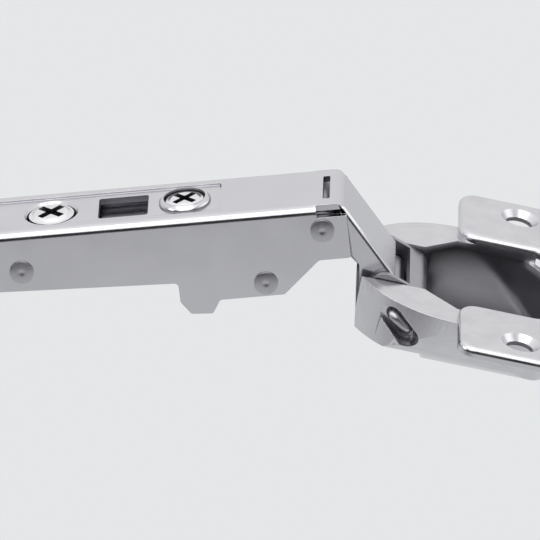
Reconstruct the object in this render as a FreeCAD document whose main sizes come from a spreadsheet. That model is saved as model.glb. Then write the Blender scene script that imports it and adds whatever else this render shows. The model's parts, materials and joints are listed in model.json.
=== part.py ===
"""Clip-on cabinet hinge: 35 mm cup, two links, cranked arm and clip adaptor.

The frame is the hinge's own: +X runs along the arm towards the cup, +Y across it
and +Z up through the arm's top. The origin is the seat of the front claws, where
the hinge hooks on to its mounting plate. The rest pose is the fully open one.
"""
import FreeCAD, Part
import math
import os

import Sketcher

Vector = FreeCAD.Vector
Rotation = FreeCAD.Rotation
Placement = FreeCAD.Placement

# Driving dimensions, in millimetres and degrees.
SIZES = [
    # arm
    ("top_height", 12.5, "arm's top face above the claw seat"),
    ("sheet", 1.0, "thickness of the arm's sheet"),
    ("arm_width", 14.5, "across the arm's side walls"),
    ("arm_bend", 1.3, "outer radius of the arm's long edges"),
    ("arm_front", 18.0, "front edge of the side walls"),
    ("arm_rear", -47.8, "rear end of the arm"),
    ("rear_depth", 9.5, "side wall at the rear end"),
    ("wall_depth", 11.0, "side wall just behind the ears"),
    ("ear_depth", 14.46, "side wall at the ears"),
    ("front_depth", 9.1, "side wall in front of the ears"),
    ("ear_rear", -9.4, "rear edge of the ears"),
    ("ear_front", 7.0, "front corner of the ears"),
    ("ear_slant", 5.95, "length of the slope in front of the ears"),
    ("tab_depth", 16.7, "guide tab, below the arm's top"),
    ("tab_rear", -7.9, "rear corner of the guide tab"),
    ("tab_length", 3.4, "guide tab along the arm"),
    ("tab_slope", 1.35, "slope of the guide tab's sides"),
    # nose
    ("nose_width", 12.7, "across the nose"),
    ("nose_root", 17.35, "where the nose's face would meet the top plane"),
    ("nose_angle", 61.6, "fall of the nose's face"),
    ("nose_bend", 2.3, "outer radius of the nose's bend"),
    ("nose_end", 15.6, "length of the nose's face"),
    ("nose_flange", 3.6, "depth of the nose's side flanges"),
    ("nose_ear", 2.0, "radius of the ears that hold the outer link's pin"),
    ("flange_rear", 17.15, "rear edge of the nose's flanges"),
    ("relief_rear", 13.34, "rear end of the corner reliefs"),
    ("relief_depth", 1.8, "depth of the corner reliefs"),
    # arm's top
    ("panel_width", 10.0, "width of the sunk panel"),
    ("panel_sink", 0.35, "depth of the sunk panel"),
    ("panel_front", -1.7, "front end of the sunk panel"),
    ("panel_corner", 0.8, "corners of the sunk panel"),
    ("window_rear", -21.0, "rear edge of the window"),
    ("window_length", 7.8, "window along the arm"),
    ("window_width", 7.2, "window across the arm"),
    ("slot_place", 14.4, "rear edge of the cross slot"),
    ("slot_length", 8.2, "cross slot across the arm"),
    ("slot_width", 1.1, "cross slot along the arm"),
    ("ring_radius", 4.3, "countersunk ring round the rear screw"),
    ("collar_radius", 4.1, "domed collar round the front screw"),
    ("collar_height", 0.85, "collar above the sunk panel"),
    # cross pins
    ("pin_radius", 1.25, "shank of the arm's cross pins"),
    ("rivet_radius", 1.85, "rivet heads on the side walls"),
    ("rivet_height", 0.4, "rivet heads, proud of the wall"),
    ("guide_place", 4.3, "guide rivets along the arm"),
    ("guide_depth", 12.2, "guide rivets below the top"),
    ("tilt_place", -33.6, "tilt pin along the arm"),
    ("tilt_depth", 6.7, "tilt pin below the top"),
    # links
    ("inner_place", 14.0, "inner link's pin along the arm"),
    ("inner_depth", 4.04, "inner link's pin below the top"),
    ("outer_place", 20.611, "outer link's pin along the arm"),
    ("outer_depth", 15.635, "outer link's pin below the top"),
    ("outer_pin_radius", 1.0, "outer link's pin"),
    ("strap_width", 10.2, "inner link's strap"),
    ("strap_thick", 1.2, "inner link's strap"),
    ("strap_eye", 2.7, "inner link's eye round the arm's pin"),
    ("strap_barrel", 12.1, "length of that eye"),
    ("strap_curl", 1.6, "inner link's curl round its axle"),
    ("link_thick", 0.9, "outer link's cheeks"),
    ("link_gap", 0.1, "between the nose and a cheek"),
    ("link_eye", 1.75, "outer link's eye on its axle"),
    ("link_foot", 1.7, "outer link's slotted end"),
    ("link_bow_inner", 2.35, "inside of the outer link's bow"),
    ("link_bow_outer", 4.3, "outside of the outer link's bow"),
    ("link_bow_start", 1.8, "start of the outer link's bow"),
    ("link_bow_length", 2.9, "length of the outer link's bow"),
    ("link_bridge", 4.0, "outer link's bridge along its cheeks"),
    ("link_slot_play", 0.62, "length of the open pivot's slot"),
    ("running_fit", 0.06, "radial clearance of a turning pin"),
    ("loose_fit", 0.22, "radial clearance of the open pivot"),
    # cup
    ("cup_tilt", 18.4, "fall of the cup's face at full opening"),
    ("cup_place", 34.23, "cup centre along the arm"),
    ("cup_drop", 17.18, "cup centre below the arm's top"),
    ("cup_radius", 17.4, "outside of the cup"),
    ("cup_wall", 1.0, "wall of the cup"),
    ("cup_depth", 11.4, "depth of the cup behind its middle"),
    ("cup_round", 12.0, "rounding of the cup's floor"),
    ("front_cup_depth", 8.2, "depth of the cup's raised front"),
    ("front_cup_end", -3.9, "where the raised front ends"),
    ("rail_thick", 1.1, "rails beside the slot"),
    ("slot_half", 7.6, "half width between the rails"),
    ("mouth_half", 12.3, "half width between the wings"),
    ("mouth_rear", 14.5, "rear end of the mouth"),
    ("mouth_corner", 3.0, "corners of the mouth"),
    ("flare_front", -5.6, "where the rails start to part"),
    ("flare_rear", -0.3, "where the rails have parted"),
    ("entry_depth", 6.0, "depth of the front wall's slot"),
    ("wing_front", -0.3, "front ends of the wings"),
    ("wing_length", 19.6, "wings along the cup"),
    ("wing_span", 56.0, "across both wings"),
    ("wing_thick", 1.45, "wings"),
    ("wing_corner", 2.8, "corners of the wings"),
    ("screw_margin", 5.5, "screw holes in from the wings' ends"),
    ("screw_setback", 9.5, "screw holes behind the cup's centre"),
    ("screw_hole", 4.2, "screw holes"),
    ("screw_sink", 6.2, "countersinks of the screw holes"),
    ("axle_radius", 0.95, "wire of the axle staple"),
    ("inner_axle_place", -10.017, "inner link's axle from the cup's centre"),
    ("inner_axle_drop", 2.872, "inner link's axle below the rim"),
    ("outer_axle_place", -7.229, "outer link's axle from the cup's centre"),
    ("outer_axle_drop", 4.973, "outer link's axle below the rim"),
    ("niche_face", 12.0, "floor of the staple's niche, from the middle"),
    ("niche_half", 1.8, "half width of the niche, round the staple"),
    ("seat_rear", -4.9, "rear end of the axle seats"),
    ("seat_length", 7.5, "axle seats along the cup"),
    ("staple_bend", 1.1, "bends of the staple"),
    ("staple_end", 13.3, "far ends of the staple"),
    # closing springs
    ("spring_wire", 0.4, "wire radius of the closing springs"),
    ("spring_coil", 1.45, "coil radius of the closing springs"),
    ("spring_length", 2.5, "length of each closing spring"),
    ("spring_turns", 3.0, "turns of each closing spring"),
    ("spring_start", 7.9, "inner end of each closing spring"),
    # adaptor under the arm
    ("rail_width", 9.8, "across the adaptor rail"),
    ("rail_sheet", 1.0, "sheet of the adaptor rail"),
    ("rail_top", 3.5, "adaptor rail below the arm's top"),
    ("rail_rear", -46.3, "rear end of the adaptor rail"),
    ("rail_front", 3.0, "front end of the adaptor rail"),
    ("rail_depth", 9.9, "adaptor rail's sides, below the arm's top"),
    ("claw_radius", 1.6, "claw seat"),
    ("claw_lip", 1.0, "lip under the claw seat"),
    ("claw_rear", -1.4, "rear edge of the claws"),
    ("slide_width", 12.0, "across the depth slide"),
    ("slide_sheet", 0.9, "sheet of the depth slide"),
    ("slide_top", 2.4, "depth slide below the arm's top"),
    ("slide_rear", -41.0, "rear end of the depth slide"),
    ("slide_front", 7.4, "front end of the depth slide"),
    ("slide_depth", 9.3, "depth slide's sides, below the arm's top"),
    ("fork_depth", 14.0, "depth slide's forks, below the arm's top"),
    ("fork_rear", 1.2, "rear edge of the forks"),
    ("fork_play", 0.25, "guide rivets' play in the forks"),
    ("tilt_rise", 1.2, "guide rivets' travel in the forks"),
    ("depth_travel", 1.5, "depth adjustment each way"),
    # screws
    ("side_place", -7.4, "side screw along the arm"),
    ("side_radius", 3.0, "thread of the side screw"),
    ("side_proud", 0.6, "side screw above the sunk panel"),
    ("screw_gap", 0.1, "between a screw's shoulder and the slide"),
    ("neck_radius", 1.6, "neck of the side screw"),
    ("foot_radius", 2.5, "foot of the side screw"),
    ("foot_height", 0.9, "foot of the side screw"),
    ("foot_window_length", 9.0, "adaptor's window round that foot"),
    ("foot_window_width", 6.4, "adaptor's window round that foot"),
    ("depth_place", -28.5, "depth screw along the arm"),
    ("depth_radius", 3.6, "head of the depth screw"),
    ("depth_sink", 0.15, "depth screw's head below the panel"),
    ("screw_clearance", 0.3, "arm's holes round the screws"),
    ("cam_radius", 1.0, "cam pin of the depth screw"),
    ("cam_throw", 1.9, "cam pin off the depth screw's axis"),
    ("cam_play", 0.13, "cam pin's play in its cross slot"),
    ("washer_radius", 1.9, "washer on the cam pin"),
    ("washer_thick", 0.6, "washer on the cam pin"),
    ("recess_span", 5.0, "cross recess, tip to tip"),
    ("recess_width", 1.0, "cross recess, arm width"),
    ("recess_depth", 1.0, "cross recess, depth"),
    # clip lever
    ("lever_place", -42.8, "lever pin along the arm"),
    ("lever_drop", 7.5, "lever pin below the top"),
    ("lever_pin_radius", 1.0, "lever pin"),
    ("lever_width", 7.2, "clip lever"),
    ("lever_sheet", 1.0, "sheet of the clip lever"),
    ("lever_eye", 2.1, "clip lever's cheeks round its pin"),
    ("tab_reach", 11.5, "finger tab's end behind the lever's pin"),
    ("tab_top", 5.5, "finger tab below the arm's top"),
    ("hook_reach", 4.4, "hook's tip ahead of the lever's pin"),
    ("hook_top", 12.7, "hook below the arm's top"),
    ("hook_end", 14.3, "lower end of the hook, below the arm's top"),
    ("coil_wire", 0.3, "wire radius of the lever's spring"),
    ("coil_radius", 1.45, "coil radius of the lever's spring"),
    ("coil_length", 2.1, "length of the lever's spring"),
    ("coil_turns", 3.0, "turns of the lever's spring"),
]


class Dim:
    """A size that knows both its number and the expression that gives it."""

    def __init__(self, value, text):
        self.value = float(value)
        self.text = text

    @staticmethod
    def of(other):
        return other if isinstance(other, Dim) else Dim(other, repr(float(other)))

    def __add__(self, other):
        other = Dim.of(other)
        return Dim(self.value + other.value, f"({self.text} + {other.text})")

    def __sub__(self, other):
        other = Dim.of(other)
        return Dim(self.value - other.value, f"({self.text} - {other.text})")

    def __mul__(self, other):
        other = Dim.of(other)
        return Dim(self.value * other.value, f"({self.text} * {other.text})")

    def __truediv__(self, other):
        other = Dim.of(other)
        return Dim(self.value / other.value, f"({self.text} / {other.text})")

    def __radd__(self, other):
        return Dim.of(other) + self

    def __rsub__(self, other):
        return Dim.of(other) - self

    def __rmul__(self, other):
        return Dim.of(other) * self

    def __neg__(self):
        return Dim(-self.value, f"(0 - {self.text})")


def sin(angle):
    return Dim(math.sin(math.radians(angle.value)), f"sin({angle.text})")


def cos(angle):
    return Dim(math.cos(math.radians(angle.value)), f"cos({angle.text})")


def tan(angle):
    return Dim(math.tan(math.radians(angle.value)), f"tan({angle.text})")


def bearing(rise, run):
    """Angle of a direction, in degrees."""
    value = math.degrees(math.atan2(rise.value, run.value))
    return Dim(value, f"(atan2({rise.text}; {run.text}) / 1 deg)")


def length(rise, run):
    value = math.hypot(rise.value, run.value)
    return Dim(value, f"sqrt({rise.text} * {rise.text} + {run.text} * {run.text})")


class Sheet:
    """The spreadsheet of driving dimensions, read as attributes."""

    def __init__(self, document):
        cells = document.addObject("Spreadsheet::Sheet", "Sizes")
        self.values = {}
        for row, (alias, value, note) in enumerate(SIZES, start=1):
            cells.set(f"A{row}", alias)
            cells.set(f"B{row}", str(value))
            cells.set(f"C{row}", note)
            cells.setAlias(f"B{row}", alias)
            self.values[alias] = Dim(value, f"Sizes.{alias}")
        document.recompute()

    def __getattr__(self, alias):
        return self.values[alias]


doc = FreeCAD.newDocument("clip_on_hinge")
s = Sheet(doc)
nodes = []


def below(depth):
    """Height of a point that lies a depth below the arm's top."""
    return s.top_height - depth


def new_body(name):
    body = doc.addObject("PartDesign::Body", name)
    body.Label = name
    nodes.append(body)
    return body


def place(thing, x, z, turn):
    """Put an object's own origin at x, z, turned about +Y."""
    x, z, turn = Dim.of(x), Dim.of(z), Dim.of(turn)
    rotation = Rotation(Vector(0, 1, 0), turn.value)
    thing.Placement = Placement(Vector(x.value, 0, z.value), rotation)
    spot = f"vector({x.text}; 0; {z.text})"
    thing.setExpression("Placement", f"placement({spot}; rotation(vector(0; 1; 0); {turn.text}))")


def hold_place(sketch, kind, geometry, point, size):
    index = sketch.addConstraint(Sketcher.Constraint(kind, geometry, point, size.value))
    sketch.setExpression(f"Constraints[{index}]", size.text)


def hold_point(sketch, geometry, point, x, y):
    """Hold one point of a sketch at x, y."""
    hold_place(sketch, "DistanceX", geometry, point, x)
    hold_place(sketch, "DistanceY", geometry, point, y)


def hold_radius(sketch, geometry, size):
    index = sketch.addConstraint(Sketcher.Constraint("Radius", geometry, size.value))
    sketch.setExpression(f"Constraints[{index}]", size.text)


class Corner:
    """One corner of an outline, sharp or rounded."""

    def __init__(self, x, y, radius=None):
        self.x, self.y = Dim.of(x), Dim.of(y)
        self.radius = None if radius is None else Dim.of(radius)
        self.spot = Vector(self.x.value, self.y.value, 0)


class Outline:
    """A closed outline through corners (x, y) or (x, y, radius)."""

    def __init__(self, *corners):
        self.corners = [Corner(*corner) for corner in corners]

    def draw(self, sketch):
        spots = [corner.spot for corner in self.corners]
        lines = []
        for start, end in zip(spots, spots[1:] + spots[:1]):
            lines.append(sketch.addGeometry(Part.LineSegment(start, end), False))
        for index, corner in enumerate(self.corners):
            before, after = lines[index - 1], lines[index]
            sketch.addConstraint(Sketcher.Constraint("Coincident", before, 2, after, 1))
            hold_point(sketch, after, 1, corner.x, corner.y)

    def rounded(self):
        """The rounded corners, grouped by the expression of their radius."""
        groups = {}
        for corner in self.corners:
            if corner.radius is not None:
                groups.setdefault(corner.radius.text, []).append(corner)
        return groups


def add_arc(sketch, start, end, centre):
    """A short arc from start to end; its two ends keep their order round the centre."""
    turns_left = (start - centre).cross(end - centre).z > 0
    ends = (start, end) if turns_left else (end, start)
    angles = [math.atan2(spot.y - centre.y, spot.x - centre.x) for spot in ends]
    if angles[1] < angles[0]:
        angles[1] += 2 * math.pi
    circle = Part.Circle(centre, Vector(0, 0, 1), (start - centre).Length)
    arc = sketch.addGeometry(Part.ArcOfCircle(circle, *angles), False)
    return (arc, 1, 2) if turns_left else (arc, 2, 1)


class SquareOutline(Outline):
    """An outline of level and upright lines, its round corners drawn as arcs."""

    def draw(self, sketch):
        count = len(self.corners)
        ends = []
        for index, corner in enumerate(self.corners):
            before, after = self.corners[index - 1], self.corners[(index + 1) % count]
            ends.append((self.arc_end(corner, before), self.arc_end(corner, after)))
        lines = []
        for index, (entry, leave) in enumerate(ends):
            following = ends[(index + 1) % count][0]
            start = Vector(leave[0].value, leave[1].value, 0)
            end = Vector(following[0].value, following[1].value, 0)
            lines.append(sketch.addGeometry(Part.LineSegment(start, end), False))
        for index, corner in enumerate(self.corners):
            before, after = lines[index - 1], lines[index]
            entry, leave = ends[index]
            hold_point(sketch, after, 1, *leave)
            if corner.radius is None:
                sketch.addConstraint(Sketcher.Constraint("Coincident", before, 2, after, 1))
                continue
            hold_point(sketch, before, 2, *entry)
            self.draw_arc(sketch, corner, before, after, entry, leave)

    @staticmethod
    def arc_end(corner, neighbour):
        """Where the corner's arc meets the line towards a neighbour."""
        if corner.radius is None:
            return corner.x, corner.y
        way = (neighbour.spot - corner.spot).normalize()
        return corner.x + corner.radius * round(way.x), corner.y + corner.radius * round(way.y)

    @staticmethod
    def draw_arc(sketch, corner, before, after, entry, leave):
        start = Vector(entry[0].value, entry[1].value, 0)
        end = Vector(leave[0].value, leave[1].value, 0)
        arc, first, last = add_arc(sketch, start, end, start + end - corner.spot)
        sketch.addConstraint(Sketcher.Constraint("Coincident", before, 2, arc, first))
        sketch.addConstraint(Sketcher.Constraint("Coincident", after, 1, arc, last))
        hold_place(sketch, "DistanceX", arc, 3, entry[0] + leave[0] - corner.x)

    def rounded(self):
        return {}


class Box(Outline):
    """A rectangle, with all four corners rounded when a radius is given."""

    def __init__(self, left, right, low, high, radius=None):
        corners = [(left, low), (right, low), (right, high), (left, high)]
        if radius is not None:
            corners = [(x, y, radius) for x, y in corners]
        super().__init__(*corners)


class Disc:
    """A circle."""

    def __init__(self, x, y, radius):
        self.x, self.y, self.radius = Dim.of(x), Dim.of(y), Dim.of(radius)

    def draw(self, sketch):
        centre = Vector(self.x.value, self.y.value, 0)
        circle = Part.Circle(centre, Vector(0, 0, 1), self.radius.value)
        ring = sketch.addGeometry(circle, False)
        hold_point(sketch, ring, 3, self.x, self.y)
        hold_radius(sketch, ring, self.radius)

    def rounded(self):
        return {}


def sketch_on(body, name, plane, offset, shapes):
    """A sketch on one of the body's own planes, moved along that plane's normal."""
    sketch = body.newObject("Sketcher::SketchObject", name)
    role = plane + "_Plane"
    planes = [feature for feature in body.Origin.OriginFeatures if feature.Role == role]
    sketch.AttachmentSupport = [(planes[0], "")]
    sketch.MapMode = "FlatFace"
    offset = Dim.of(offset)
    sketch.AttachmentOffset = Placement(Vector(0, 0, offset.value), Rotation())
    sketch.setExpression("AttachmentOffset.Base.z", offset.text)
    for shape in shapes:
        shape.draw(sketch)
    sketch.Visibility = False
    return sketch


def extrude(body, kind, name, plane, offset, low, high, shapes):
    """Make a pad or a pocket, then round the corners that ask for it."""
    sketch = sketch_on(body, name + "_outline", plane, offset, shapes)
    feature = body.newObject("PartDesign::" + kind, name)
    feature.Profile = sketch
    feature.Length = high.value - low.value
    feature.setExpression("Length", (high - low).text)
    for shape in shapes:
        for radius, corners in shape.rounded().items():
            round_corners(body, name + "_rounds", plane, low.value, high.value, radius, corners)
    return feature


def add(body, name, plane, low, high, *shapes):
    """Add material over outlines, from low to high along the plane's axis."""
    low, high = Dim.of(low), Dim.of(high)
    offset = -high if plane == "XZ" else low
    return extrude(body, "Pad", name, plane, offset, low, high, shapes)


def cut(body, name, plane, low, high, *shapes):
    """Take material out inside outlines, from low to high along the plane's axis."""
    low, high = Dim.of(low), Dim.of(high)
    offset = -low if plane == "XZ" else high
    return extrude(body, "Pocket", name, plane, offset, low, high, shapes)


def round_corners(body, name, plane, low, high, radius, corners):
    """Fillet the straight edges that an outline's corners have left behind."""
    doc.recompute()
    base = body.Tip
    across = {"XY": 2, "XZ": 1, "YZ": 0}[plane]
    first, second = [axis for axis in range(3) if axis != across]
    direction = Vector(*[1 if axis == across else 0 for axis in range(3)])
    names = []
    for index, edge in enumerate(base.Shape.Edges, start=1):
        middle = middle_of(edge)
        if not runs_along(edge, direction) or not low < middle[across] < high:
            continue
        for corner in corners:
            offset = Vector(middle[first] - corner.spot.x, middle[second] - corner.spot.y, 0)
            if offset.Length < 1e-3:
                names.append(f"Edge{index}")
    if not names:
        return
    feature = body.newObject("PartDesign::Fillet", name)
    feature.Base = (base, names)
    feature.setExpression("Radius", radius)


def soften(body, name, size, test, kind="Fillet"):
    """Fillet or chamfer every edge of the body that passes a test."""
    doc.recompute()
    base = body.Tip
    numbered = enumerate(base.Shape.Edges, start=1)
    names = [f"Edge{index}" for index, edge in numbered if test(edge)]
    if not names:
        raise ValueError(f"{name} finds no edge")
    feature = body.newObject("PartDesign::" + kind, name)
    feature.Base = (base, names)
    feature.setExpression("Radius" if kind == "Fillet" else "Size", Dim.of(size).text)
    return feature


def runs_along(edge, direction):
    """True for a straight edge along a direction."""
    if edge.Curve.TypeId != "Part::GeomLine":
        return False
    return abs(edge.Curve.Direction.dot(direction)) > 1 - 1e-6


def is_ring(edge, radius):
    """True for a full circle of a radius."""
    if edge.Curve.TypeId != "Part::GeomCircle" or len(edge.Vertexes) != 1:
        return False
    return abs(edge.Curve.Radius - Dim.of(radius).value) < 1e-4


def middle_of(edge):
    return edge.BoundBox.Center


def cup_point(x, z):
    """A point of the cup's own frame, in the hinge's frame."""
    turned_x = x * cos(s.cup_tilt) + z * sin(s.cup_tilt)
    turned_z = z * cos(s.cup_tilt) - x * sin(s.cup_tilt)
    return s.cup_place + turned_x, below(s.cup_drop) + turned_z


def nose_point(along, inward):
    """A point measured down the nose's face and in from it."""
    x = s.nose_root + along * cos(s.nose_angle) - inward * sin(s.nose_angle)
    return x, below(along * sin(s.nose_angle) + inward * cos(s.nose_angle))


inner_axle = cup_point(s.inner_axle_place, -s.inner_axle_drop)
outer_axle = cup_point(s.outer_axle_place, -s.outer_axle_drop)
inner_pin = (s.inner_place, below(s.inner_depth))
outer_pin = (s.outer_place, below(s.outer_depth))


def make_arm():
    """The arm: one folded sheet with side walls, sunk panel and cranked nose."""
    body = new_body("hinge_arm")
    half = s.arm_width / 2
    inner_half = half - s.sheet
    foot_front = s.tab_rear + s.tab_length + s.tab_slope
    walls = Outline(
        (s.arm_rear, s.top_height),
        (s.arm_front, s.top_height),
        (s.arm_front, below(s.front_depth), 0.5),
        (s.ear_front + s.ear_slant, below(s.front_depth), 1.2),
        (s.ear_front, below(s.ear_depth), 0.8),
        (foot_front, below(s.ear_depth), 0.7),
        (s.tab_rear + s.tab_length, below(s.tab_depth), 0.5),
        (s.tab_rear, below(s.tab_depth - 0.25), 0.5),
        (s.ear_rear, below(s.ear_depth - 0.2), 0.8),
        (s.ear_rear, below(s.wall_depth), 0.7),
        (s.arm_rear, below(s.rear_depth)),
    )
    add(body, "walls", "XZ", -half, half, walls)
    top = s.top_height.value
    soften(body, "long_bends", s.arm_bend, lambda edge: (
        runs_along(edge, Vector(1, 0, 0)) and abs(middle_of(edge).z - top) < 1e-3))
    channel = Box(-inner_half, inner_half, below(30), below(s.sheet), 0.35)
    cut(body, "channel", "YZ", s.arm_rear - 1, s.arm_front + 1, channel)
    relief = Box(s.relief_rear, s.arm_front + 1, -half - 1, half + 1)
    cut(body, "corner_reliefs", "XY", below(s.relief_depth), s.top_height + 1, relief)

    nose_half = s.nose_width / 2
    pin_along = (s.outer_place - s.nose_root) * cos(s.nose_angle)
    pin_along = pin_along + s.outer_depth * sin(s.nose_angle)
    pin_inward = s.outer_depth * cos(s.nose_angle)
    pin_inward = pin_inward - (s.outer_place - s.nose_root) * sin(s.nose_angle)
    nose = Outline(
        (s.relief_rear - 0.4, s.top_height),
        (s.nose_root, s.top_height, s.nose_bend),
        nose_point(s.nose_end, 0),
        nose_point(s.nose_end, 2.2),
        nose_point(pin_along + s.nose_ear * 0.7, pin_inward - s.nose_ear * 0.7),
        nose_point(pin_along - s.nose_ear * 0.77, pin_inward + s.nose_ear * 0.63),
        nose_point(pin_along - 5, s.nose_flange),
        nose_point(s.nose_end * 0.54, s.nose_flange),
        (s.flange_rear, below(s.inner_depth + 1.6)),
        (s.flange_rear, below(s.sheet)),
        (s.relief_rear - 0.4, below(s.sheet)),
    )
    add(body, "nose", "XZ", -nose_half, nose_half, nose)
    add(body, "nose_ears", "XZ", -nose_half, nose_half, Disc(*outer_pin, s.nose_ear))
    inner_root = s.nose_root - tan(s.nose_angle / 2) * s.sheet
    hollow = Outline(
        (s.relief_rear - 2, below(s.sheet)),
        (inner_root, below(s.sheet), s.nose_bend - s.sheet),
        nose_point(s.nose_end * 1.4, s.sheet),
        (s.relief_rear - 2, below(s.nose_end * 1.6)),
    )
    nose_inner = nose_half - s.sheet
    cut(body, "nose_hollow", "XZ", -nose_inner, nose_inner, hollow)

    panel_half = s.panel_width / 2
    panel = Box(s.arm_rear - 5, s.panel_front, -panel_half, panel_half, s.panel_corner)
    backing = Box(
        s.arm_rear, s.panel_front + 0.6, -panel_half - 0.5, panel_half + 0.5, 0.5)
    add(body, "panel_backing", "XY", below(s.sheet + s.panel_sink), below(s.sheet - 0.1), backing)
    cut(body, "panel", "XY", below(s.panel_sink), s.top_height + 1, panel)
    window_half = s.window_width / 2
    window = Box(
        s.window_rear, s.window_rear + s.window_length, -window_half, window_half, 0.5)
    slot_half = s.slot_length / 2
    slot = Box(s.slot_place, s.slot_place + s.slot_width, -slot_half, slot_half, 0.3)
    cut(body, "window", "XY", below(3), s.top_height + 1, window)
    cut(body, "cross_slot", "XY", below(2), s.top_height + 1, slot)

    collar_top = below(s.panel_sink - s.collar_height)
    add(body, "collar", "XY", below(s.sheet), collar_top, Disc(s.side_place, 0, s.collar_radius))
    soften(body, "collar_dome", s.collar_height * 0.7, lambda edge: (
        is_ring(edge, s.collar_radius) and middle_of(edge).z > top), "Chamfer")
    side_hole = Disc(s.side_place, 0, s.side_radius + s.screw_clearance)
    depth_hole = Disc(s.depth_place, 0, s.depth_radius + s.screw_clearance)
    cut(body, "screw_holes", "XY", below(3), s.top_height + 2, side_hole, depth_hole)
    rim = s.depth_radius + s.screw_clearance
    soften(body, "screw_ring", s.ring_radius - rim, lambda edge: (
        is_ring(edge, rim) and middle_of(edge).z > top - 0.5
        and abs(middle_of(edge).x - s.depth_place.value) < 1), "Chamfer")

    pins = [
        Disc(s.tilt_place, below(s.tilt_depth), s.pin_radius),
        Disc(s.guide_place, below(s.guide_depth), s.pin_radius),
        Disc(*inner_pin, s.pin_radius),
    ]
    cut(body, "pin_holes", "XZ", -half - 1, half + 1, *pins)
    cut(body, "outer_pin_holes", "XZ", -half, half, Disc(*outer_pin, s.outer_pin_radius))


def make_pin(name, x, z, radius, reach, head_radius=None):
    """A cross pin, with riveted heads outside its reach when they have a radius."""
    body = new_body(name)
    add(body, "shank", "XZ", -reach, reach, Disc(x, z, radius))
    if head_radius is None:
        return
    tip = reach + s.rivet_height
    add(body, "near_head", "XZ", -tip, -reach, Disc(x, z, head_radius))
    add(body, "far_head", "XZ", reach, tip, Disc(x, z, head_radius))
    soften(body, "head_rims", s.rivet_height * 0.6, lambda edge: (
        is_ring(edge, head_radius) and abs(middle_of(edge).y) > reach.value + 0.1), "Chamfer")


def make_guide_rivet(name, side):
    """A short rivet through one side wall, standing in the slide's fork."""
    body = new_body(name)
    half = s.arm_width / 2
    tip = half + s.rivet_height
    inner = s.slide_width / 2 - s.slide_sheet - 0.05
    centre = (s.guide_place, below(s.guide_depth))
    spans = [(inner, half), (half, tip)]
    if side < 0:
        spans = [(-high, -low) for low, high in spans]
    add(body, "shank", "XZ", *spans[0], Disc(*centre, s.pin_radius))
    add(body, "head", "XZ", *spans[1], Disc(*centre, s.rivet_radius))
    soften(body, "head_rim", s.rivet_height * 0.6, lambda edge: (
        is_ring(edge, s.rivet_radius) and abs(middle_of(edge).y) > half.value + 0.1), "Chamfer")


def make_inner_link():
    """The inner link: a strap with a wide eye on the arm and a curl on its axle."""
    body = new_body("inner_link")
    run = inner_axle[0] - inner_pin[0]
    rise = inner_axle[1] - inner_pin[1]
    reach = length(rise, run)
    half = s.strap_width / 2
    barrel = s.strap_barrel / 2
    thick = s.strap_thick / 2
    add(body, "barrel", "XZ", -barrel, barrel, Disc(0, 0, s.strap_eye))
    add(body, "strap", "XZ", -half, half, Box(0, reach, -thick, thick))
    add(body, "curl", "XZ", -half, half, Disc(reach, 0, s.strap_curl))
    eye = Disc(0, 0, s.pin_radius + s.running_fit)
    bore = Disc(reach, 0, s.axle_radius + s.running_fit)
    cut(body, "bores", "XZ", -barrel - 1, barrel + 1, eye, bore)
    place(body, *inner_pin, bearing(-rise, run))


def make_outer_link():
    """The outer link: two bowed cheeks outside the nose, joined by a bridge."""
    body = new_body("outer_link")
    run = outer_pin[0] - outer_axle[0]
    rise = outer_pin[1] - outer_axle[1]
    reach = length(rise, run)
    inner = s.nose_width / 2 + s.link_gap
    outer = inner + s.link_thick
    bow_end = s.link_bow_start + s.link_bow_length
    cheek = Outline(
        (-s.link_eye, 0),
        (-s.link_eye, -s.link_bow_outer, 2.2),
        (reach + s.link_foot * 0.6, -s.link_bow_outer, 2.4),
        (reach + s.link_foot, 0),
    )
    add(body, "cheeks", "XZ", -outer, outer, cheek)
    add(body, "axle_eye", "XZ", -outer, outer, Disc(0, 0, s.link_eye))
    add(body, "slotted_eye", "XZ", -outer, outer, Disc(reach, 0, s.link_foot))
    gap = Outline(
        (s.link_bow_start, 4),
        (s.link_bow_start, -s.link_bow_inner, 1.1),
        (bow_end, -s.link_bow_inner, 1.1),
        (bow_end, 4),
    )
    cut(body, "bow", "XZ", -outer - 1, outer + 1, gap)
    bridge_end = s.link_bridge - s.link_eye
    between = Outline(
        (-s.link_eye - 3, 4),
        (-s.link_eye - 3, -s.link_bow_outer + s.link_thick),
        (bridge_end, -s.link_bow_outer + s.link_thick),
        (bridge_end, -s.link_bow_outer - 2),
        (reach + s.link_foot + 3, -s.link_bow_outer - 2),
        (reach + s.link_foot + 3, 4),
    )
    cut(body, "between_cheeks", "XZ", -inner, inner, between)
    bore = Disc(0, 0, s.axle_radius + s.running_fit)
    open_radius = s.outer_pin_radius + s.loose_fit
    slot = Box(reach, reach + s.link_slot_play, -open_radius, open_radius)
    cut(body, "axle_bore", "XZ", -outer - 1, outer + 1, bore)
    cut(body, "open_slot", "XZ", -outer - 1, outer + 1, slot)
    cut(body, "slot_start", "XZ", -outer - 1, outer + 1, Disc(reach, 0, open_radius))
    slot_end = Disc(reach + s.link_slot_play, 0, open_radius)
    cut(body, "slot_end", "XZ", -outer - 1, outer + 1, slot_end)
    place(body, *outer_axle, bearing(-rise, run))


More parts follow.
